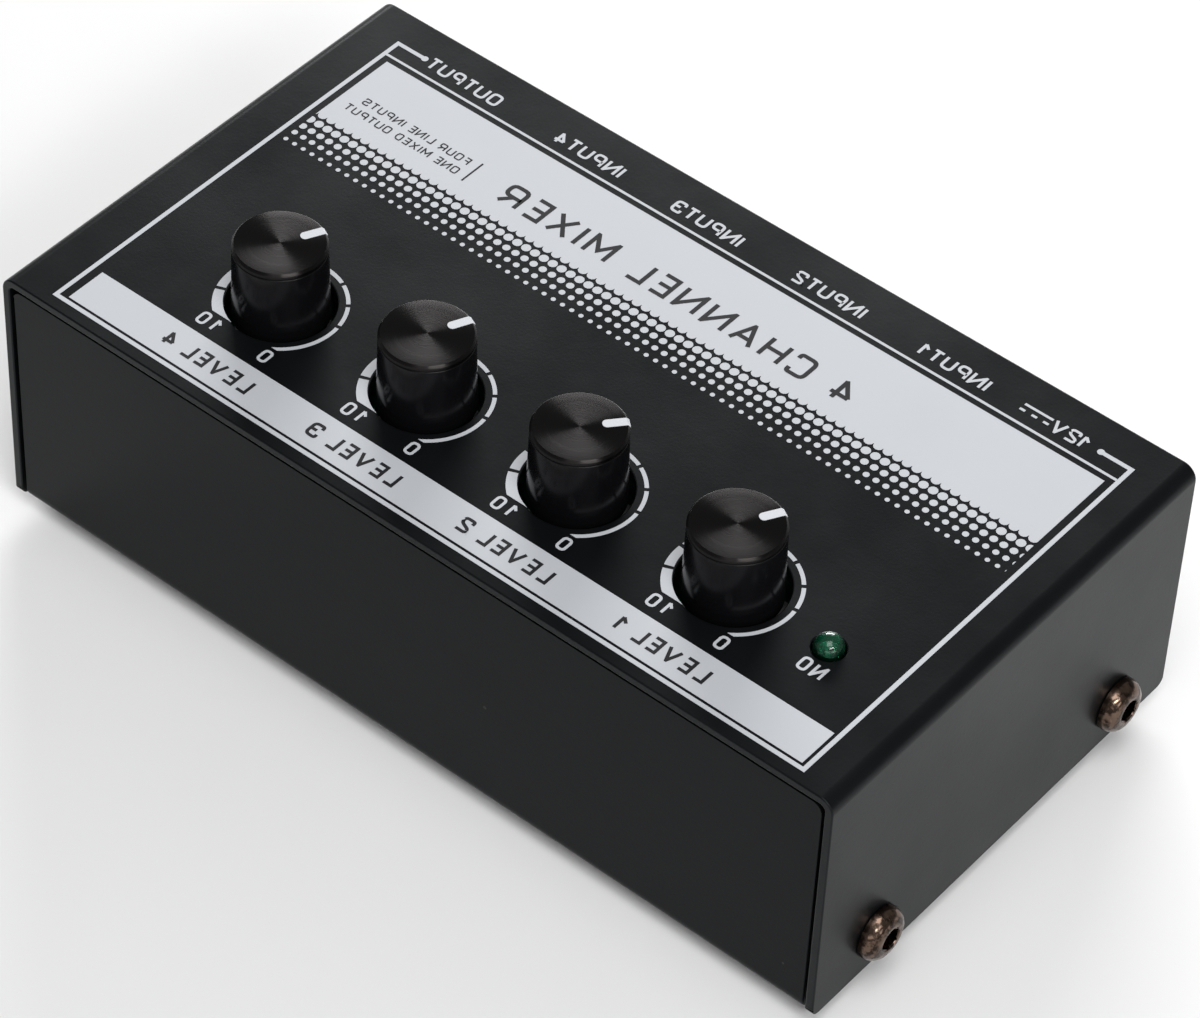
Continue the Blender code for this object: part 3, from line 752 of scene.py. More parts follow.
class Words:
    """Flat lettering, one closed strip per stroke, all with one stroke width."""

    def __init__(self, stroke, height, thickness):
        self.bm = bmesh.new()
        self.stroke = stroke
        self.height = height
        self.thickness = thickness

    def stroke_strip(self, points, closed, layer=0):
        verts = [self.bm.verts.new((point.x, point.y, 0.0)) for point in points]
        pairs = list(zip(verts, verts[1:]))
        if closed:
            pairs.append((verts[-1], verts[0]))
        edges = [self.bm.edges.new(pair) for pair in pairs]
        rise = self.thickness + layer * INK_LAYER
        lift(self.bm, bmesh.ops.extrude_edge_only(self.bm, edges=edges), (0.0, 0.0, rise))

    def write(self, text, start, baseline, gap, stretch=1.0, space=0.4):
        """Letters go towards -X from start, so the words read mirrored."""
        x = start
        half = self.stroke / 2
        for letter in text:
            if letter == " ":
                x -= self.height * space
                continue
            share, strokes = GLYPHS[letter]
            width = max(0.0, self.height * share * stretch - self.stroke)
            for layer, stroke in enumerate(strokes):
                tall = self.height - self.stroke
                points = [
                    Vector((x - half - across * width, baseline + half + up * tall))
                    for across, up in stroke
                ]
                closed = (points[0] - points[-1]).length < MERGE
                if closed:
                    points = points[:-1]
                if letter in ROUND_GLYPHS:
                    points = rounded(points, self.stroke * 1.35, closed)
                self.stroke_strip(points, closed, layer)
            x -= width + self.stroke + gap

    def solid(self, place, baselines):
        """Give the strips their width, cut the letters flat at both ends, and place them."""
        strips = scratch_object("strips", self.bm)
        modifier = strips.modifiers.new("width", "SOLIDIFY")
        modifier.thickness = self.stroke
        modifier.offset = 0.0
        modifier.use_even_offset = True
        bm = evaluated(strips)
        margin = self.stroke * 0.004
        for low in sorted(set(baselines)):
            for level, direction in ((low - margin, -1.0), (low + self.height + margin, 1.0)):
                trim_flat(bm, level, direction, self.height / 2)
        return moved(bm, place)


def trim_flat(bm, level, direction, reach):
    """Cut away what pokes past a line across Y, only within a short reach of it."""
    close = {vert for vert in bm.verts if -reach < (vert.co.y - level) * direction < reach}
    faces = [face for face in bm.faces if any(vert in close for vert in face.verts)]
    chosen = set(faces)
    edges = [edge for edge in bm.edges if any(face in chosen for face in edge.link_faces)]
    verts = [vert for vert in bm.verts if any(face in chosen for face in vert.link_faces)]
    bmesh.ops.bisect_plane(
        bm,
        geom=verts + edges + faces,
        dist=MERGE,
        plane_co=(0.0, level, 0.0),
        plane_no=(0.0, direction, 0.0),
    )
    poking = [vert for vert in bm.verts if MERGE * 2 < (vert.co.y - level) * direction < reach]
    bmesh.ops.delete(bm, geom=poking, context="VERTS")
    open_edges = [edge for edge in bm.edges if edge.is_boundary]
    bmesh.ops.holes_fill(bm, edges=open_edges, sides=0)


# ---------------------------------------------------------------- operators


class MIXER_OT_cover(bpy.types.Operator):
    """Bent cover with rounded paint edges round every hole and cut edge"""

    bl_idname = "mixer.cover"
    bl_label = "Cover"
    bl_options = {"REGISTER", "UNDO"}

    corner = 0.0013

    def execute(self, context):
        size = sizes()
        half = COVER_HIGH.x
        low = COVER_LOW.z
        bend = size.bend
        inner = bend - size.sheet
        right = (half - bend, TOP_Z - bend)
        left = (-half + bend, TOP_Z - bend)
        outline = [(half, low)]
        outline += arc(right, bend, 0, 90, 9)
        outline += arc(left, bend, 90, 180, 9)
        outline += [(-half, low), (-half + size.sheet, low)]
        outline += arc(left, inner, 180, 90, 6)
        outline += arc(right, inner, 90, 0, 6)
        outline += [(half - size.sheet, low)]
        depth = COVER_HIGH.y - COVER_LOW.y
        bm = pushed([(x, COVER_LOW.y, z) for x, z in outline], (0.0, depth, 0.0))
        soften(bm, edges_at(bm, lambda co: near(co.z, low), 1), self.corner, 6)
        ends = edges_on(bm, lambda co: near(co.y, COVER_LOW.y))
        ends += edges_on(bm, lambda co: near(co.y, COVER_HIGH.y))
        soften(bm, ends, size.edge, 3)

        cutter = bmesh.new()
        rim = size.edge
        spots = [(knob_place(channel), size.knob_hole, 96) for channel in CHANNELS]
        light = box_middle("power_light")
        spots.append((Vector((light.x, light.y, TOP_Z)), size.light_hole, 40))
        for spot, radius, steps in spots:
            profile = [(0.0, rim), (radius + rim * 1.001, rim)]
            profile += arc((radius + rim * 1.001, -rim), rim, 90, 180, 4)
            profile += [(radius, -3 * size.sheet), (0.0, -3 * size.sheet)]
            copy_into(cutter, moved(turned(profile, steps), spot))
        for side in SIDES:
            side_screw_holes(cutter, side, half)
        bm = carved(bm, cutter)
        paint = powder_paint("cover", finishes().cover_gloss)
        piece("cover_sheet", bm, paint, stands_for=["cover"], flats=True)
        return {"FINISHED"}


class MIXER_OT_chassis(bpy.types.Operator):
    """Chassis with the front, the bottom and the back, and the lips for the side screws"""

    bl_idname = "mixer.chassis"
    bl_label = "Chassis"
    bl_options = {"REGISTER", "UNDO"}

    corner = 0.0015
    bend = 0.0018
    lip_gap = 0.0001
    lip_short = 0.001
    lip_height = 0.012

    def execute(self, context):
        size = sizes()
        front, back = CHASSIS_LOW.y, CHASSIS_HIGH.y
        low, high = CHASSIS_LOW.z, CHASSIS_HIGH.z
        half = CHASSIS_HIGH.x
        bend = self.bend
        inner = bend - size.sheet
        front_centre = (front + bend, low + bend)
        back_centre = (back - bend, low + bend)
        outline = [(front, high)]
        outline += arc(front_centre, bend, 180, 270, 8)
        outline += arc(back_centre, bend, 270, 360, 8)
        outline += [(back, high), (back - size.sheet, high)]
        outline += arc(back_centre, inner, 360, 270, 5)
        outline += arc(front_centre, inner, 270, 180, 5)
        outline += [(front + size.sheet, high)]
        bm = pushed([(-half, y, z) for y, z in outline], (2 * half, 0.0, 0.0))
        soften(bm, edges_at(bm, lambda co: near(co.z, high), 0), self.corner, 6)
        ends = edges_on(bm, lambda co: near(abs(co.x), half))
        soften(bm, ends, size.edge, 3)

        lips = bmesh.new()
        lip_outer = half - self.lip_gap
        for side in (-1, 1):
            inside, outside = sorted((side * (lip_outer - size.sheet), side * lip_outer))
            block(
                lips,
                (inside, front + size.sheet + self.lip_short, low + size.sheet / 2),
                (outside, back - size.sheet - self.lip_short, low + self.lip_height),
            )
        bm = carved(bm, lips, "UNION")

        cutter = bmesh.new()
        for socket in SOCKETS:
            middle = box_middle(f"nut_{socket}")
            rod(cutter, (middle.x, back, middle.z), JACK_HOLE, 4 * size.sheet, 48, TO_BACK)
        middle = box_middle("power_pin")
        rod(cutter, (middle.x, back, middle.z), POWER_HOLE, 4 * size.sheet, 48, TO_BACK)
        for side in SIDES:
            middle = box_middle(f"base_screw_{side}")
            rod(cutter, (middle.x, middle.y, low), BASE_SCREW_HOLE, 4 * size.sheet, 20)
            side_screw_holes(cutter, side, lip_outer)
        bm = carved(bm, cutter)
        # Lower gloss than the cover's paint, as painted shade on the front face.
        paint = powder_paint("chassis", finishes().chassis_shaded_gloss)
        piece("chassis_sheet", bm, paint, stands_for=["chassis"], flats=True)
        return {"FINISHED"}


def printed_block(bm, left, right, front, back, height):
    """Add a rectangle of print, given in millimetres on the cover's top."""
    block(bm, panel_point(left, front, -height), panel_point(right, back, height))


class MIXER_OT_bands(bpy.types.Operator):
    """White bands, with the dots that fade the rear one out, and the frame line"""

    bl_idname = "mixer.bands"
    bl_label = "Printed bands"
    bl_options = {"REGISTER", "UNDO"}

    # Left, right, front and back in millimetres on the cover's top.
    rear_band = (8.95, 126.57, 50.0, 63.7)
    front_band = (9.19, 127.16, 2.77, 8.89)
    rear_line = (7.9, 127.6, 64.6, 65.0)
    frame_corners = (
        (12.33, 67.5),
        (7.62, 67.5),
        (7.62, 2.06),
        (127.93, 2.06),
        (127.93, 67.5),
        (123.3, 67.5),
    )
    frame_line, frame_dot = 0.00062, 0.0005
    # Rows of dots: distance back from the front edge, radius, pitch and first column.
    dot_rows = (
        (50.00, 0.720, 1.487, 9.90),
        (48.33, 0.670, 1.487, 10.65),
        (46.67, 0.550, 1.526, 9.33),
        (45.04, 0.450, 1.526, 9.33),
        (43.33, 0.340, 1.526, 9.33),
    )

    def execute(self, context):
        height = sizes().print_height
        bm = bmesh.new()
        left, right, front, back = self.rear_band
        printed_block(bm, left, right, front, back, height)
        dots = bmesh.new()
        for y, radius, pitch, first in self.dot_rows:
            x = first - pitch
            while x < right + radius:
                rod(dots, panel_point(x, y), radius * MM, 2 * height, 12)
                x += pitch
        limits = (
            (panel_point(left, 0.0), (-1.0, 0.0, 0.0)),
            (panel_point(right, 0.0), (1.0, 0.0, 0.0)),
            (panel_point(0.0, front), (0.0, 1.0, 0.0)),
        )
        for plane, direction in limits:
            bmesh.ops.holes_fill(dots, edges=cut_away(dots, plane, direction), sides=0)
        copy_into(bm, dots)
        piece("rear_band_print", bm, white_ink(), merge=0)

        bm = bmesh.new()
        printed_block(bm, *self.front_band, height)
        piece("front_band_print", bm, white_ink())

        line = Words(self.frame_line, 0.0, 2 * height)
        line.stroke_strip([panel_point(*corner).xy for corner in self.frame_corners], False)
        bm = line.solid((0.0, 0.0, TOP_Z - height), ())
        printed_block(bm, *self.rear_line, height)
        for x, y in (self.frame_corners[0], self.frame_corners[-1]):
            rod(bm, panel_point(x, y), self.frame_dot, 2 * height + 2 * INK_LAYER, 20)
        piece("frame_line_print", bm, white_ink(), merge=0)
        return {"FINISHED"}


class MIXER_OT_dials(bpy.types.Operator):
    """Level arcs round the knobs, thin at first and widening towards the loud end"""

    bl_idname = "mixer.dials"
    bl_label = "Level arcs"
    bl_options = {"REGISTER", "UNDO"}

    # Angles in degrees, counter-clockwise from the right.
    start, widening, end = -64.0, 65.0, 252.0
    first_gap, gap_pitch, gaps = 10.0, 27.55, 8
    gap_half = 1.9
    thin, thick = 0.00054, 0.00156
    flat_end = 0.00684

    def execute(self, context):
        height = sizes().print_height
        outer = sizes().dial_radius
        cuts = [self.first_gap + self.gap_pitch * n for n in range(self.gaps)]
        starts = [self.start] + [angle + self.gap_half for angle in cuts]
        ends = [angle - self.gap_half for angle in cuts] + [self.end]
        for channel in CHANNELS:
            bm = bmesh.new()
            for start, end in zip(starts, ends):
                self.section(bm, outer, math.radians(start), math.radians(end))
            cut_away(bm, (0.0, -self.flat_end, 0.0), (0.0, -1.0, 0.0))
            lift(bm, bmesh.ops.extrude_face_region(bm, geom=bm.faces[:]), (0.0, 0.0, 2 * height))
            moved(bm, knob_place(channel) - Vector((0.0, 0.0, height)))
            piece(f"level_arc_print_{channel}", bm, white_ink())
        return {"FINISHED"}

    def section(self, bm, outer, start, end):
        steps = max(2, round((end - start) / math.radians(3.0)))
        first = [bm.verts.new((outer - self.thin, 0.0, 0.0)), bm.verts.new((outer, 0.0, 0.0))]
        edge = bm.edges.new(first)
        before = set(bm.verts) - set(first)
        bmesh.ops.rotate(bm, verts=first, cent=(0, 0, 0), matrix=Matrix.Rotation(start, 3, "Z"))
        bmesh.ops.spin(
            bm,
            geom=first + [edge],
            cent=(0.0, 0.0, 0.0),
            axis=(0.0, 0.0, 1.0),
            angle=end - start,
            steps=steps,
            use_merge=False,
        )
        low, high = math.radians(self.widening), math.radians(self.end)
        for vert in set(bm.verts) - before:
            radius = vert.co.xy.length
            if radius < outer - self.thin / 2:
                angle = math.atan2(vert.co.y, vert.co.x)
                if angle < math.radians(self.start) - 0.01:
                    angle += math.tau
                share = max(0.0, (angle - low) / (high - low))
                wanted = outer - (self.thin + (self.thick - self.thin) * share)
                vert.co.xy *= wanted / radius


class MIXER_OT_words(bpy.types.Operator):
    """Plain functional words and numbers, all mirrored"""

    bl_idname = "mixer.words"
    bl_label = "Words"
    bl_options = {"REGISTER", "UNDO"}

    # Words, where they start and their baselines, in millimetres on the cover's top.
    socket_names = (
        ("OUTPUT", 25.55, 66.28),
        ("INPUT4", 46.53, 66.28),
        ("INPUT3", 66.36, 66.28),
        ("INPUT2", 86.35, 66.28),
        ("INPUT1", 106.0, 66.28),
        ("12V", 121.36, 66.28),
    )
    light_name = (("NO", 120.65, 14.1),)
    level_starts = (110.68, 86.46, 61.96, 37.6)
    title = (("4 CHANNEL MIXER", 94.5, 52.6),)
    subtitle = (("FOUR LINE INPUTS", 30.3, 55.1), ("ONE MIXED OUTPUT", 30.3, 52.8))
    # Direct-current sign and the title's bar: left, right, front and back.
    current_line = (111.23, 115.6, 67.9, 68.28)
    current_dashes = tuple((x - 0.41, x + 0.41, 66.85, 67.23) for x in (111.57, 113.4, 115.18))
    title_bar = (31.65, 31.9, 52.5, 56.8)
    # The dark words stand this share of the print height above the bands under them.
    over_band = 0.6

    def execute(self, context):
        white = white_ink()
        sign = (self.current_line, *self.current_dashes)
        style = (0.00040, 0.00236, 0.00036, 1.0, 0.4)
        self.words("socket_names_print", style, self.socket_names, white, 0.0, sign)

        numbers = []
        for channel in CHANNELS:
            middle = (knob_place(channel).x - COVER_LOW.x) / MM
            numbers += [("0", middle + 5.85, 10.18), ("10", middle - 2.67, 10.18)]
        style = (0.00038, 0.00233, 0.00095, 0.9, 0.4)
        self.words("dial_numbers_print", style, numbers, white)

        style = (0.00038, 0.00234, 0.00056, 0.82, 0.4)
        self.words("light_name_print", style, self.light_name, white)

        dark = dark_ink()
        levels = [(f"LEVEL {n}", start, 4.5) for n, start in zip(CHANNELS, self.level_starts)]
        style = (0.00046, 0.00260, 0.00053, 1.0, 0.37)
        self.words("level_names_print", style, levels, dark, self.over_band)

        style = (0.00062, 0.0042, 0.00105, 1.0, 0.55)
        self.words("title_print", style, self.title, dark, self.over_band, (self.title_bar,))

        style = (0.0002, 0.00138, 0.00032, 1.0, 0.5)
        self.words("subtitle_print", style, self.subtitle, dark, self.over_band)
        return {"FINISHED"}

    def words(self, name, style, lines, finish, over=0.0, blocks=()):
        """One printed piece; the style is stroke, height, gap, stretch and space."""
        stroke, tall, gap, stretch, space = style
        height = sizes().print_height
        printed = Words(stroke, tall, 2 * height)
        for text, start, baseline in lines:
            place = panel_point(start, baseline)
            printed.write(text, place.x, place.y, gap, stretch, space)
        baselines = [panel_point(0, baseline).y for _, _, baseline in lines]
        bm = printed.solid((0.0, 0.0, TOP_Z + height * (over - 1.0)), baselines)
        for sides in blocks:
            printed_block(bm, *sides, height * (1.0 + over))
        piece(name, bm, finish, merge=0)


class MIXER_OT_knobs(bpy.types.Operator):
    """Glossy knobs with turned metal caps and white bars"""

    bl_idname = "mixer.knobs"
    bl_label = "Knobs"
    bl_options = {"REGISTER", "UNDO"}

    plastic_slot = "gloss_black_plastic"
    cap_edge = 0.0003

    def execute(self, context):
        gloss = self.gloss_plastic()
        white = ink("pointer_paint", (0.58, 0.60, 0.63), 0.45)
        for channel in CHANNELS:
            place = knob_place(channel)
            body = f"knob_{channel}_set"
            side = moved(self.side(channel), place)
            piece(f"knob_side_{channel}", side, gloss, body, [f"knob_{channel}"])
            disc = moved(self.disc(channel), place)
            metal = self.turned_metal(channel, place)
            cap = [f"knob_cap_{channel}"]
            piece(f"knob_disc_{channel}", disc, metal, body, cap)
            turn = Matrix.Rotation(pointer_angle(channel), 4, "Z")
            bar = moved(self.bar(channel), place, turn)
            piece(f"knob_bar_{channel}", bar, white, body)
        return {"FINISHED"}

    def levels(self, channel):
        """Radii of the foot and the cap, and heights of foot, cap seat and cap top."""
        low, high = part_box(f"knob_{channel}")
        cap_low, cap_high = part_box(f"knob_cap_{channel}")
        foot = (high.x - low.x) / 2
        top = (cap_high.x - cap_low.x) / 2
        return foot, top, low.z - TOP_Z, cap_low.z - TOP_Z, cap_high.z - TOP_Z

    def side(self, channel):
        foot, top, low, seat, _ = self.levels(channel)
        wall, hub, bore = 0.0012, 0.0043, 0.0031
        hub_low, hollow_top, bore_top = -0.0006, 0.0055, 0.0078
        round_top, round_foot = 0.00018, 0.00025
        profile = [(0.0, seat - 0.00002), (top - 0.0007, seat - 0.00002)]
        profile += [(top - 0.00055, seat - 0.00012), (top - round_top, seat - 0.00012)]
        profile += arc((top - round_top, seat - 0.0003), round_top, 90, 0, 3)
        profile += [(top + (foot - top) * 0.5, (low + seat) / 2), (foot, low + 0.0003)]
        profile += arc((foot - round_foot, low + round_foot), round_foot, 0, -90, 3)
        profile += [(foot - wall, low), (foot - wall, hollow_top), (hub, hollow_top)]
        profile += [(hub, hub_low), (bore, hub_low), (bore, bore_top), (0.0, bore_top)]
        return turned(profile, 96)

    def disc(self, channel):
        """Cap with a slight dish and a bevelled edge."""
        _, top, _, seat, high = self.levels(channel)
        edge, dish = self.cap_edge, 0.00003
        profile = [
            (radius, high - dish * (1 - (radius / top) ** 2))
            for radius in (0.0, 0.0012, 0.0028, 0.0044)
        ]
        profile += [(top - edge - 0.00008, high), (top - edge, high - 0.00001)]
        profile += [(top - 0.00002, high - edge), (top, high - edge - 0.00004)]
        profile += [(top, seat + 0.00005), (top - 0.0001, seat), (0.0, seat)]
        return turned(profile, 96)

    def bar(self, channel):
        """White bar that runs over the cap's edge, with a rounded inner end."""
        _, top, _, _, high = self.levels(channel)
        edge = self.cap_edge
        start, half = sizes().pointer_start, sizes().pointer_width / 2
        rise, sink, over = 0.00004, 0.0001, 0.00012
        outline = [
            (start, high + rise),
            (top - edge, high + rise),
            (top + rise * 0.7, high - edge + rise * 0.7),
            (top + rise * 0.7, high - edge - over),
            (top - over, high - edge - over),
            (top - edge - sink, high - sink),
            (start, high - sink),
        ]
        bm = pushed([(x, -half, z) for x, z in outline], (0.0, 2 * half, 0.0))
        soften(bm, edges_at(bm, lambda co: near(co.x, start), 1), half * 0.92, 8)
        return bm

    def gloss_plastic(self):
        base = tuple(finishes().knob)
        finish = Finish("gloss_black_plastic_fine", base, 0.22)
        grain = finish.group(grain_group(), Grains_per_metre=1500.0)
        wear = finish.group(wear_group(), Smudges_per_metre=140.0)
        finish.vary_roughness(wear["Smudge"], 0.19, 0.28)
        finish.vary_colour([(grain["Mottle"], lighter(base, 1.3))])
        finish.bump(grain["Height"], 0.05, 0.00003)
        finish.set("Specular IOR Level", 0.15)
        return finish.material

    def turned_metal(self, channel, place):
        base = tuple(finishes().cap)
        finish = Finish(f"turned_black_metal_{channel}", base, 0.30, 1.0, place)
        rings = finish.group(rings_group())
        wear = finish.group(wear_group(), Smudges_per_metre=260.0)
        finish.vary_colour(
            [(rings["Streak"], lighter(base, 0.92)), (wear["Scratch"], lighter(base, 1.3))]
        )
        finish.vary_roughness(rings["Streak"], 0.25, 0.29)
        finish.bump(rings["Height"], 0.10, 0.00001)
        finish.set("Anisotropic", 0.92)
        finish.set("Anisotropic Rotation", 0.25)
        tangent = node(finish.tree, "ShaderNodeTangent", direction_type="RADIAL", axis="Z")
        link(finish.tree, tangent.outputs["Tangent"], finish.shader.inputs["Tangent"])
        return finish.material


class MIXER_OT_power_light(bpy.types.Operator):
    """Green power light, unlit, with the cup seen through its lens"""

    bl_idname = "mixer.power_light"
    bl_label = "Power light"
    bl_options = {"REGISTER", "UNDO"}

    def execute(self, context):
        low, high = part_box("power_light")
        middle = box_middle("power_light")
        radius = high.z - TOP_Z
        flange, flange_top, base = radius + 0.0003, -0.0024, -0.0032
        profile = [(0.0, radius)] + arc((0.0, 0.0), radius, 80, 0, 8)
        profile += [(radius, flange_top), (flange, flange_top), (flange, base), (0.0, base)]
        spot = (middle.x, middle.y, TOP_Z)
        lens = moved(turned(profile, 48), spot)
        piece("light_lens", lens, self.lens(spot, radius), stands_for=["power_light"])

        cup = [(0.0, -0.0008), (0.0004, -0.0009), (0.0007, -0.0004), (0.0009, -0.0004)]
        cup += [(0.0009, -0.0026), (0.0, -0.0026)]
        inside = plated("light_cup_metal", (0.55, 0.56, 0.56), 0.35)
        piece("light_cup", moved(turned(cup, 24), spot), inside)

        leads = bmesh.new()
        half = 0.00025
        for side in (-1, 1):
            x, y = middle.x + side * 0.00127, middle.y
            block(leads, (x - half, y - half, low.z), (x + half, y + half, TOP_Z - 0.0033))
        piece("light_leads", leads, plated("tinned_lead", (0.60, 0.60, 0.58), 0.35))
        return {"FINISHED"}

    def lens(self, spot, radius):
        """Tinted plastic, with painted shade that darkens its colour towards the rim."""
        base = tuple(finishes().lens)
        finish = Finish("tinted_lens", base, 0.14, centre=spot)
        grain = finish.group(grain_group(), Grains_per_metre=1800.0)
        out = axis_distance(finish.tree, finish.vector)
        # Painted shade: the lens colour darkens towards its rim, standing in for the shade at the
        # lens edge.
        rim = spread(finish.tree, out, radius * 0.5, radius * 0.95, 0.0, 1.0)
        finish.vary_colour([(grain["Mottle"], lighter(base, 0.8)), (rim, lighter(base, 0.12))])
        finish.vary_roughness(grain["Mottle"], 0.12, 0.18)
        finish.set("Transmission Weight", 0.9)
        finish.set("IOR", 1.5)
        return finish.material


class MIXER_OT_side_screws(bpy.types.Operator):
    """Button-head screws with a hexagon socket"""

    bl_idname = "mixer.side_screws"
    bl_label = "Side screws"
    bl_options = {"REGISTER", "UNDO"}

    def execute(self, context):
        metal = self.bronze()
        for side, sign in zip(SIDES, (-1, 1)):
            for end in ENDS:
                name = f"screw_{side}_{end}"
                low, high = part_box(name)
                middle = (low + high) / 2
                outer = high.x if sign > 0 else low.x
                turn = Matrix.Rotation(sign * math.radians(90), 4, "Y")
                radius = (high.y - low.y) / 2
                bm = self.head(radius, abs(outer) - COVER_HIGH.x)
                moved(bm, (sign * COVER_HIGH.x, middle.y, middle.z), turn)
                piece(f"button_{name}", bm, metal, stands_for=[name])
        return {"FINISHED"}

    def bronze(self):
        """Bright bronze with painted dark reflections in random spots."""
        base = tuple(finishes().screw)
        finish = Finish("dark_bronze_plating", base, 0.17, 1.0)
        wear = finish.group(wear_group(), Smudges_per_metre=220.0)
        # Painted reflection: random dark spots in the bronze stand for reflections of dark
        # surroundings; the same mask varies roughness and bump.
        dark_reflection_patches = noise(finish.tree, finish.vector, 850.0, 3.0, 0.65)
        dark_reflection_patches = spread(finish.tree, dark_reflection_patches, 0.44, 0.58, 0.0, 1.0)
        finish.vary_colour([(dark_reflection_patches, lighter(base, 0.22)), (wear["Scratch"], lighter(base, 1.5))])
        finish.vary_roughness(dark_reflection_patches, 0.13, 0.30)
        finish.bump(dark_reflection_patches, 0.15, 0.00004)
        return finish.material

    def head(self, radius, rise):
        """Head on Z = 0 with its shank below."""
        seat, flat, rim = 0.00006, 0.0021, 0.00045
        shank, tip = 0.0019, -0.0070
        crown = [
            (flat + (radius - flat) * math.sin(a), rim + (rise - rim) * math.cos(a))
            for a in (math.radians(step) for step in (0, 15, 30, 45, 60, 72, 82, 90))
        ]
        profile = [(0.0, rise), (flat * 0.93, rise)] + crown
        profile += [(radius, seat + 0.0001), (radius - 0.0001, seat), (shank, seat)]
        profile += [(shank, -0.0066), (0.0016, tip), (0.0, tip)]
        flare = [(0.0, rise + 0.0002), (0.00195, rise + 0.0002)]
        flare += [(0.0016, rise - 0.00016), (0.0, rise - 0.0002)]
        bm = carved(turned(profile, 64), turned(flare, 48))
        socket = bmesh.new()
        rod(socket, (0.0, 0.0, rise), 0.00172, 0.0032, 6, Matrix.Rotation(0.35, 4, "Z"))
        return carved(bm, socket)


class MIXER_OT_feet(bpy.types.Operator):
    """Rubber feet with a moulded recess"""

    bl_idname = "mixer.feet"
    bl_label = "Feet"
    bl_options = {"REGISTER", "UNDO"}

    def execute(self, context):
        rubber = moulding("foot_rubber", (0.022, 0.022, 0.023), 0.72, 2200.0, 0.00005)
        for end in ENDS:
            for side in SIDES:
                name = f"foot_{end}_{side}"
                low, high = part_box(name)
                middle = (low + high) / 2
                radius = (high.x - low.x) / 2
                top = high.z + 0.0002
                profile = [(0.0, top), (radius, top), (radius, top - 0.0004)]
                profile += arc((radius - 0.0006, 0.0005), 0.0005, 0, -90, 5)
                profile += [(0.0028, 0.0), (0.0026, 0.00015), (0.0024, 0.0007), (0.0, 0.0007)]
                bm = moved(turned(profile, 48), (middle.x, middle.y, 0.0))
                piece(f"rubber_{name}", bm, rubber, stands_for=[name])
        return {"FINISHED"}


def hollow_housing(low, high, edge, middle, bore, length):
    """Socket housing behind the back, with rounded edges and a bore along Y."""
    housing = bmesh.new()
    block(housing, (low.x, low.y, low.z), (high.x, CHASSIS_HIGH.y + HOUSING_FACE, high.z))
    soften(housing, housing.edges[:], edge, 2)
    hollow = bmesh.new()
    rod(hollow, middle, bore, length, 40, TO_BACK)
    return carved(housing, hollow)


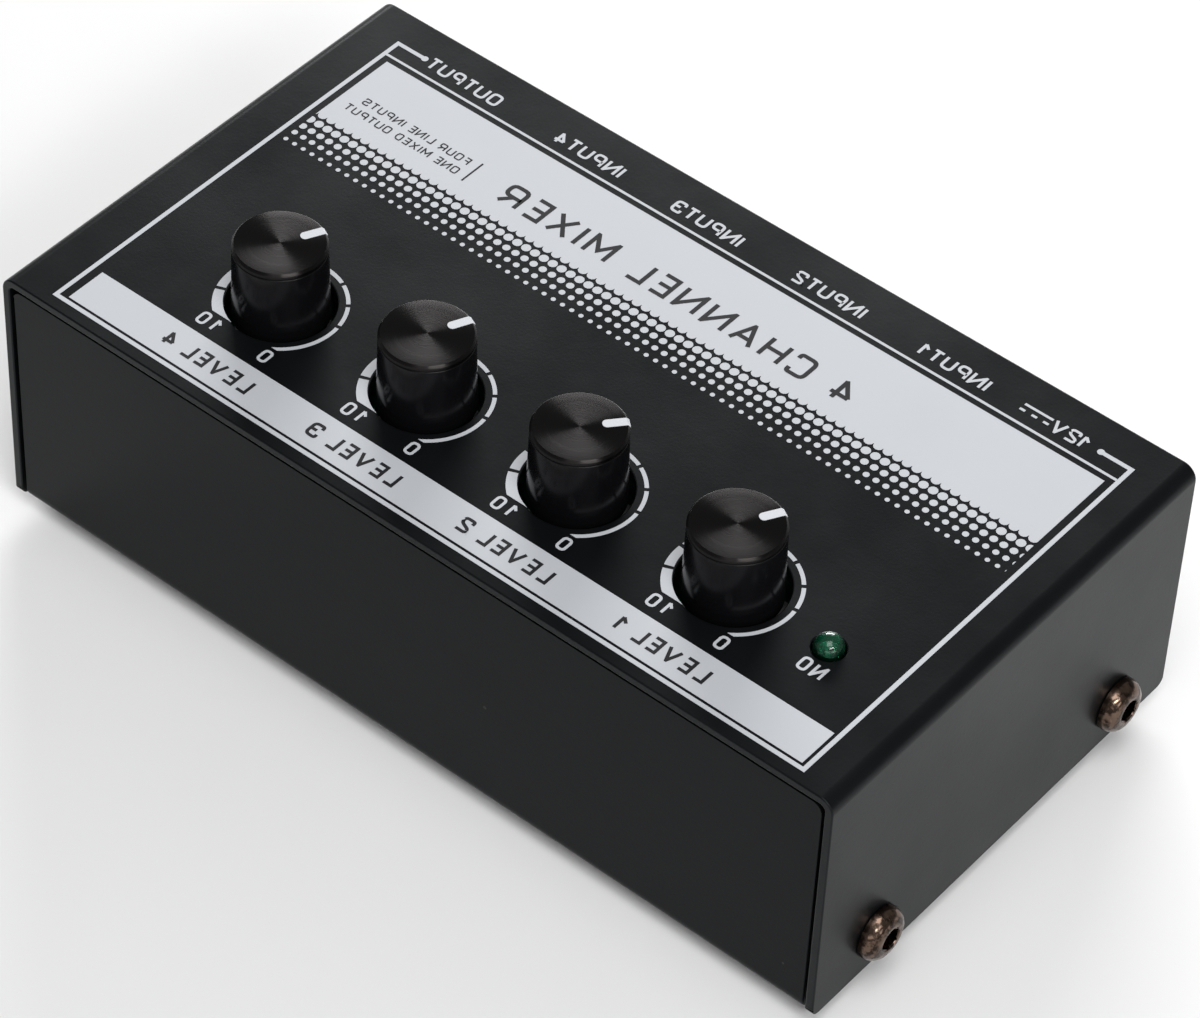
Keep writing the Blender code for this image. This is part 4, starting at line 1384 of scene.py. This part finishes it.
class MIXER_OT_sockets(bpy.types.Operator):
    """Jack sockets with their threads, nuts, washers and contact springs"""

    bl_idname = "mixer.sockets"
    bl_label = "Jack sockets"
    bl_options = {"REGISTER", "UNDO"}

    bore = 0.0033
    thread_pitch = 0.00075
    end_wall = 0.004
    # Nuts stop at different angles when they are tightened, within the room of their solids.
    nut_turns = dict(zip(SOCKETS, (0, 4, -3, 2, -5)))

    def execute(self, context):
        nickel = plated("nickel_plating", (0.66, 0.64, 0.60), 0.22)
        plastic = moulding("socket_moulding", (0.018, 0.018, 0.020), 0.42)
        spring = plated("contact_spring", (0.75, 0.66, 0.42), 0.28)
        for name in SOCKETS:
            self.jack(name, plastic, spring)
            self.nut(name, nickel)
            self.washer(name, nickel)
        return {"FINISHED"}

    def place(self, name):
        middle = box_middle(f"nut_{name}")
        return Vector((middle.x, CHASSIS_HIGH.y, middle.z))

    def jack(self, name, plastic, spring):
        low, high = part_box(f"jack_{name}")
        back = CHASSIS_HIGH.y
        proud = high.y - back
        face, neck, chamfer = HOUSING_FACE, 0.00475, 0.0004
        profile = [(self.bore + 0.0005, proud), (neck - chamfer, proud), (neck, proud - chamfer)]
        height = proud - chamfer
        while height - self.thread_pitch > face:
            profile += [(neck, height - 0.00012), (neck - 0.0003, height - 0.00042)]
            profile += [(neck, height - 0.00068)]
            height -= self.thread_pitch
        profile += [(neck, face - 0.0005), (self.bore, face - 0.0005)]
        profile += [(self.bore, proud - 0.0005)]
        place = self.place(name)
        bm = moved(turned(profile, 48), place, TO_BACK)
        piece(f"threaded_neck_{name}", bm, plastic)

        depth = back + face - low.y - self.end_wall
        middle = (place.x, back + face - depth / 2 + 0.001, place.z)
        bm = hollow_housing(low, high, 0.0005, middle, self.bore, depth + 0.002)
        jack = [f"jack_{name}"]
        piece(f"jack_housing_{name}", bm, plastic, stands_for=jack, flats=True)

        strip = bmesh.new()
        block(strip, (-0.0008, -0.0075, 0.0027), (0.0008, 0.0, 0.0031))
        bent = [vert for vert in strip.verts if vert.co.y < -0.007]
        bmesh.ops.translate(strip, verts=bent, vec=(0.0, 0.0, -0.0009))
        moved(strip, (place.x, back - 0.0085, place.z))
        piece(f"jack_spring_{name}", strip, spring)

    def nut(self, name, metal):
        low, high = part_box(f"nut_{name}")
        flats = min(high.x - low.x, high.z - low.z)
        thick = high.y - low.y
        corner = flats / 2 / math.cos(math.pi / 6)
        bm = bmesh.new()
        rod(bm, (0.0, 0.0, thick / 2), corner, thick, 6, Matrix.Rotation(math.pi / 6, 4, "Z"))
        slope, skin, flare = 0.00045, 0.00001, 0.0002
        lens = [(0.0, thick + skin), (flats / 2 - 0.0002, thick + skin)]
        lens += [(corner + 0.0001, thick - slope), (corner + 0.0001, slope)]
        lens += [(flats / 2 - 0.0002, -skin), (0.0, -skin)]
        bm = carved(bm, turned(lens, 72), "INTERSECT")
        hole = [(0.0, thick + flare), (0.0054, thick + flare), (0.0050, thick - 0.0003)]
        hole += [(0.0050, 0.0003), (0.0054, -flare), (0.0, -flare)]
        bm = carved(bm, turned(hole, 48))
        place = self.place(name)
        place.y = low.y
        turn = TO_BACK @ Matrix.Rotation(math.radians(self.nut_turns[name]), 4, "Z")
        moved(bm, place, turn)
        piece(f"hex_nut_{name}", bm, metal, stands_for=[f"nut_{name}"])

    def washer(self, name, metal):
        low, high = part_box(f"washer_{name}")
        outer = (high.x - low.x) / 2
        thick = high.y - low.y
        profile = [(0.0050, thick), (outer - 0.00012, thick), (outer, thick - 0.00012)]
        profile += [(outer, 0.00008), (outer - 0.00008, 0.0), (0.0050, 0.0)]
        place = self.place(name)
        place.y = low.y
        bm = moved(turned(profile, 72), place, TO_BACK)
        piece(f"flat_washer_{name}", bm, metal, stands_for=[f"washer_{name}"])


class MIXER_OT_power_socket(bpy.types.Operator):
    """Barrel socket for the power plug, with its pin and side spring"""

    bl_idname = "mixer.power_socket"
    bl_label = "Power socket"
    bl_options = {"REGISTER", "UNDO"}

    def execute(self, context):
        plastic = moulding("power_socket_moulding", (0.016, 0.016, 0.018), 0.36)
        low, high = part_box("power_socket")
        pin_low, pin_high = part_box("power_pin")
        back = CHASSIS_HIGH.y
        middle = (pin_low + pin_high) / 2
        place = Vector((middle.x, back, middle.z))
        proud = high.y - back
        face, bore, neck, chamfer = HOUSING_FACE, 0.0032, 0.0039, 0.00015
        profile = [(bore + 0.0002, proud), (neck - chamfer, proud), (neck, proud - chamfer)]
        profile += [(neck, face - 0.0004), (bore, face - 0.0004), (bore, proud - 0.0002)]
        bm = moved(turned(profile, 48), place, TO_BACK)
        piece("power_socket_neck", bm, plastic)

        bm = hollow_housing(low, high, 0.0004, (place.x, back - 0.0042, place.z), bore, 0.0090)
        socket = ["power_socket"]
        piece("power_socket_housing", bm, plastic, stands_for=socket, flats=True)

        nickel = plated("pin_plating", (0.70, 0.68, 0.62), 0.18)
        radius = (pin_high.x - pin_low.x) / 2
        length = pin_high.y - pin_low.y
        tip = [(0.0, length), (radius * 0.35, length)]
        tip += arc((radius * 0.35, length - radius * 0.65), radius * 0.65, 75, 0, 5)
        tip += [(radius, 0.0), (0.0, 0.0)]
        bm = moved(turned(tip, 24), (place.x, pin_low.y, place.z), TO_BACK)
        piece("power_socket_pin", bm, nickel, stands_for=["power_pin"])
        return {"FINISHED"}


class MIXER_OT_base_screws(bpy.types.Operator):
    """Cross-head screws under the box, which hold the board pillars"""

    bl_idname = "mixer.base_screws"
    bl_label = "Base screws"
    bl_options = {"REGISTER", "UNDO"}

    def execute(self, context):
        metal = plated("black_screw_plating", (0.09, 0.09, 0.095), 0.30)
        for side in SIDES:
            name = f"base_screw_{side}"
            low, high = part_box(name)
            middle = (low + high) / 2
            radius = (high.x - low.x) / 2
            rise, shank = 0.0014, 0.0014
            tip = low.z - high.z + rise
            profile = [(0.0, rise), (radius * 0.45, rise * 0.97), (radius * 0.75, rise * 0.82)]
            profile += [(radius * 0.93, rise * 0.5), (radius, rise * 0.2), (radius, 0.0)]
            profile += [(shank, 0.0), (shank, tip), (0.0, tip)]
            bm = turned(profile, 40)
            for turn in (0.0, 90.0):
                slot = bmesh.new()
                block(slot, (-0.0015, -0.00028, rise - 0.0008), (0.0015, 0.00028, rise + 0.001))
                angle = Matrix.Rotation(math.radians(turn + 20.0), 4, "Z")
                bm = carved(bm, moved(slot, (0, 0, 0), angle))
            over = Matrix.Rotation(math.pi, 4, "X")
            moved(bm, (middle.x, middle.y, low.z + rise), over)
            piece(f"cross_{name}", bm, metal, stands_for=[name])
        return {"FINISHED"}


class MIXER_OT_inside(bpy.types.Operator):
    """Finishes for the parts inside the box, which keep their solids"""

    bl_idname = "mixer.inside"
    bl_label = "Inside parts"
    bl_options = {"REGISTER", "UNDO"}

    def execute(self, context):
        steel = plated("pot_case_steel", (0.58, 0.58, 0.60), 0.30)
        brass = plated("pillar_brass", (0.72, 0.56, 0.27), 0.28)
        chip = moulding("chip_moulding", (0.020, 0.020, 0.022), 0.50)
        sleeve = moulding("capacitor_sleeve", (0.020, 0.035, 0.110), 0.30)
        laminate = self.laminate()
        finish_of = {
            "board": laminate,
            "regulator": chip,
            "amplifier_chip_1": chip,
            "amplifier_chip_2": chip,
        }
        finish_of.update({f"capacitor_{n}": sleeve for n in CHANNELS})
        finish_of.update({f"pot_body_{n}": steel for n in CHANNELS})
        finish_of.update({f"pot_shaft_{n}": steel for n in CHANNELS})
        finish_of.update({f"pillar_{side}": brass for side in SIDES})
        finish_of.update({f"board_screw_{side}": steel for side in SIDES})
        for name, finish in finish_of.items():
            for slot in frame["nodes"][name].material_slots:
                slot.material = finish
        return {"FINISHED"}

    def laminate(self):
        """Green solder mask with faint tracks under it."""
        base = (0.012, 0.110, 0.045)
        finish = Finish("solder_mask", base, 0.32)
        grain = finish.group(grain_group())
        tracks = node(finish.tree, "ShaderNodeTexBrick")
        link(finish.tree, finish.vector, tracks.inputs["Vector"])
        tracks.inputs["Scale"].default_value = 90.0
        tracks.inputs["Mortar Size"].default_value = 0.03
        finish.vary_colour(
            [(tracks.outputs["Fac"], (0.020, 0.180, 0.070)), (grain["Mottle"], lighter(base, 1.2))]
        )
        finish.bump(tracks.outputs["Fac"], 0.3, 0.00003)
        return finish.material


class MIXER_OT_stage(bpy.types.Operator):
    """Pale floor, soft lights and the camera"""

    bl_idname = "mixer.stage"
    bl_label = "Studio"
    bl_options = {"REGISTER", "UNDO"}

    # Name, place, width and height in metres, and power in watts.
    lamps = (
        ("key", (-0.83, 1.28, 0.50), 0.90, 0.35, 22.0),
        ("near_camera", (0.80, -0.42, 0.80), 0.60, 0.16, 5.0),
        ("overhead", (0.24, -0.24, 1.06), 0.70, 0.70, 6.0),
        ("front_fill", (0.60, -1.00, 0.36), 0.80, 0.30, 1.0),
        ("side_fill", (1.10, -0.38, 0.36), 0.60, 0.30, 1.5),
    )
    floor_half = 4.0

    def execute(self, context):
        stage = context.scene.mixer_stage
        bm = bmesh.new()
        bmesh.ops.create_grid(bm, x_segments=1, y_segments=1, size=self.floor_half)
        mesh = bpy.data.meshes.new("floor")
        bm.to_mesh(mesh)
        bm.free()
        floor = bpy.data.objects.new("floor", mesh)
        context.collection.objects.link(floor)
        finish = Finish("pale_floor", tuple(stage.floor), 0.6)
        grain = finish.group(grain_group(), Grains_per_metre=300.0)
        finish.vary_roughness(grain["Mottle"], 0.55, 0.65)
        mesh.materials.append(finish.material)

        world = bpy.data.worlds.new("pale_room")
        world.use_nodes = True
        background = world.node_tree.nodes["Background"]
        background.inputs["Color"].default_value = (1.0, 1.0, 1.0, 1.0)
        background.inputs["Strength"].default_value = stage.surround
        context.scene.world = world

        for lamp in self.lamps:
            self.soft_light(*lamp)
        context.scene.view_settings.view_transform = "Standard"

        camera = bpy.data.objects.new("camera", bpy.data.cameras.new("camera"))
        camera.data.sensor_width = 36.0
        camera.data.lens = stage.lens
        camera.data.shift_x = 0.03456
        camera.data.shift_y = -0.00691
        camera.data.clip_start = 0.01
        camera.location = stage.camera_place
        camera.rotation_euler = Euler(stage.camera_turn)
        context.collection.objects.link(camera)
        context.scene.camera = camera
        return {"FINISHED"}

    def soft_light(self, name, place, width, height, power):
        light = bpy.data.lights.new(name, "AREA")
        light.shape = "RECTANGLE"
        light.size = width
        light.size_y = height
        light.energy = power
        lamp = bpy.data.objects.new(name, light)
        lamp.location = place
        aim = Vector((0.0, 0.0, 0.02)) - Vector(place)
        lamp.rotation_euler = aim.to_track_quat("-Z", "Y").to_euler()
        lamp.visible_camera = False
        bpy.context.collection.objects.link(lamp)


class MIXER_PT_panel(bpy.types.Panel):
    """Sidebar list of the mixer's steps and sizes"""

    bl_idname = "MIXER_PT_panel"
    bl_label = "Line mixer"
    bl_space_type = "VIEW_3D"
    bl_region_type = "UI"
    bl_category = "Line mixer"

    def draw(self, context):
        scene = context.scene
        for settings in (scene.mixer_sizes, scene.mixer_finishes, scene.mixer_stage):
            column = self.layout.column()
            for name in settings.__annotations__:
                column.prop(settings, name)
        for operator in OPERATORS:
            self.layout.operator(operator.bl_idname)


SETTINGS = (
    ("mixer_sizes", MixerSizes),
    ("mixer_finishes", MixerFinishes),
    ("mixer_stage", MixerStage),
)
OPERATORS = (
    MIXER_OT_cover,
    MIXER_OT_chassis,
    MIXER_OT_bands,
    MIXER_OT_dials,
    MIXER_OT_words,
    MIXER_OT_knobs,
    MIXER_OT_power_light,
    MIXER_OT_side_screws,
    MIXER_OT_feet,
    MIXER_OT_sockets,
    MIXER_OT_power_socket,
    MIXER_OT_base_screws,
    MIXER_OT_inside,
    MIXER_OT_stage,
)


def register():
    for name, settings in SETTINGS:
        bpy.utils.register_class(settings)
        setattr(bpy.types.Scene, name, bpy.props.PointerProperty(type=settings))
    for operator in OPERATORS:
        bpy.utils.register_class(operator)
    bpy.utils.register_class(MIXER_PT_panel)


def unregister():
    bpy.utils.unregister_class(MIXER_PT_panel)
    for operator in reversed(OPERATORS):
        bpy.utils.unregister_class(operator)
    for name, settings in reversed(SETTINGS):
        delattr(bpy.types.Scene, name)
        bpy.utils.unregister_class(settings)


def main():
    register()
    for operator in OPERATORS:
        area, step = operator.bl_idname.split(".")
        getattr(getattr(bpy.ops, area), step)()


if __name__ == "__main__":
    main()
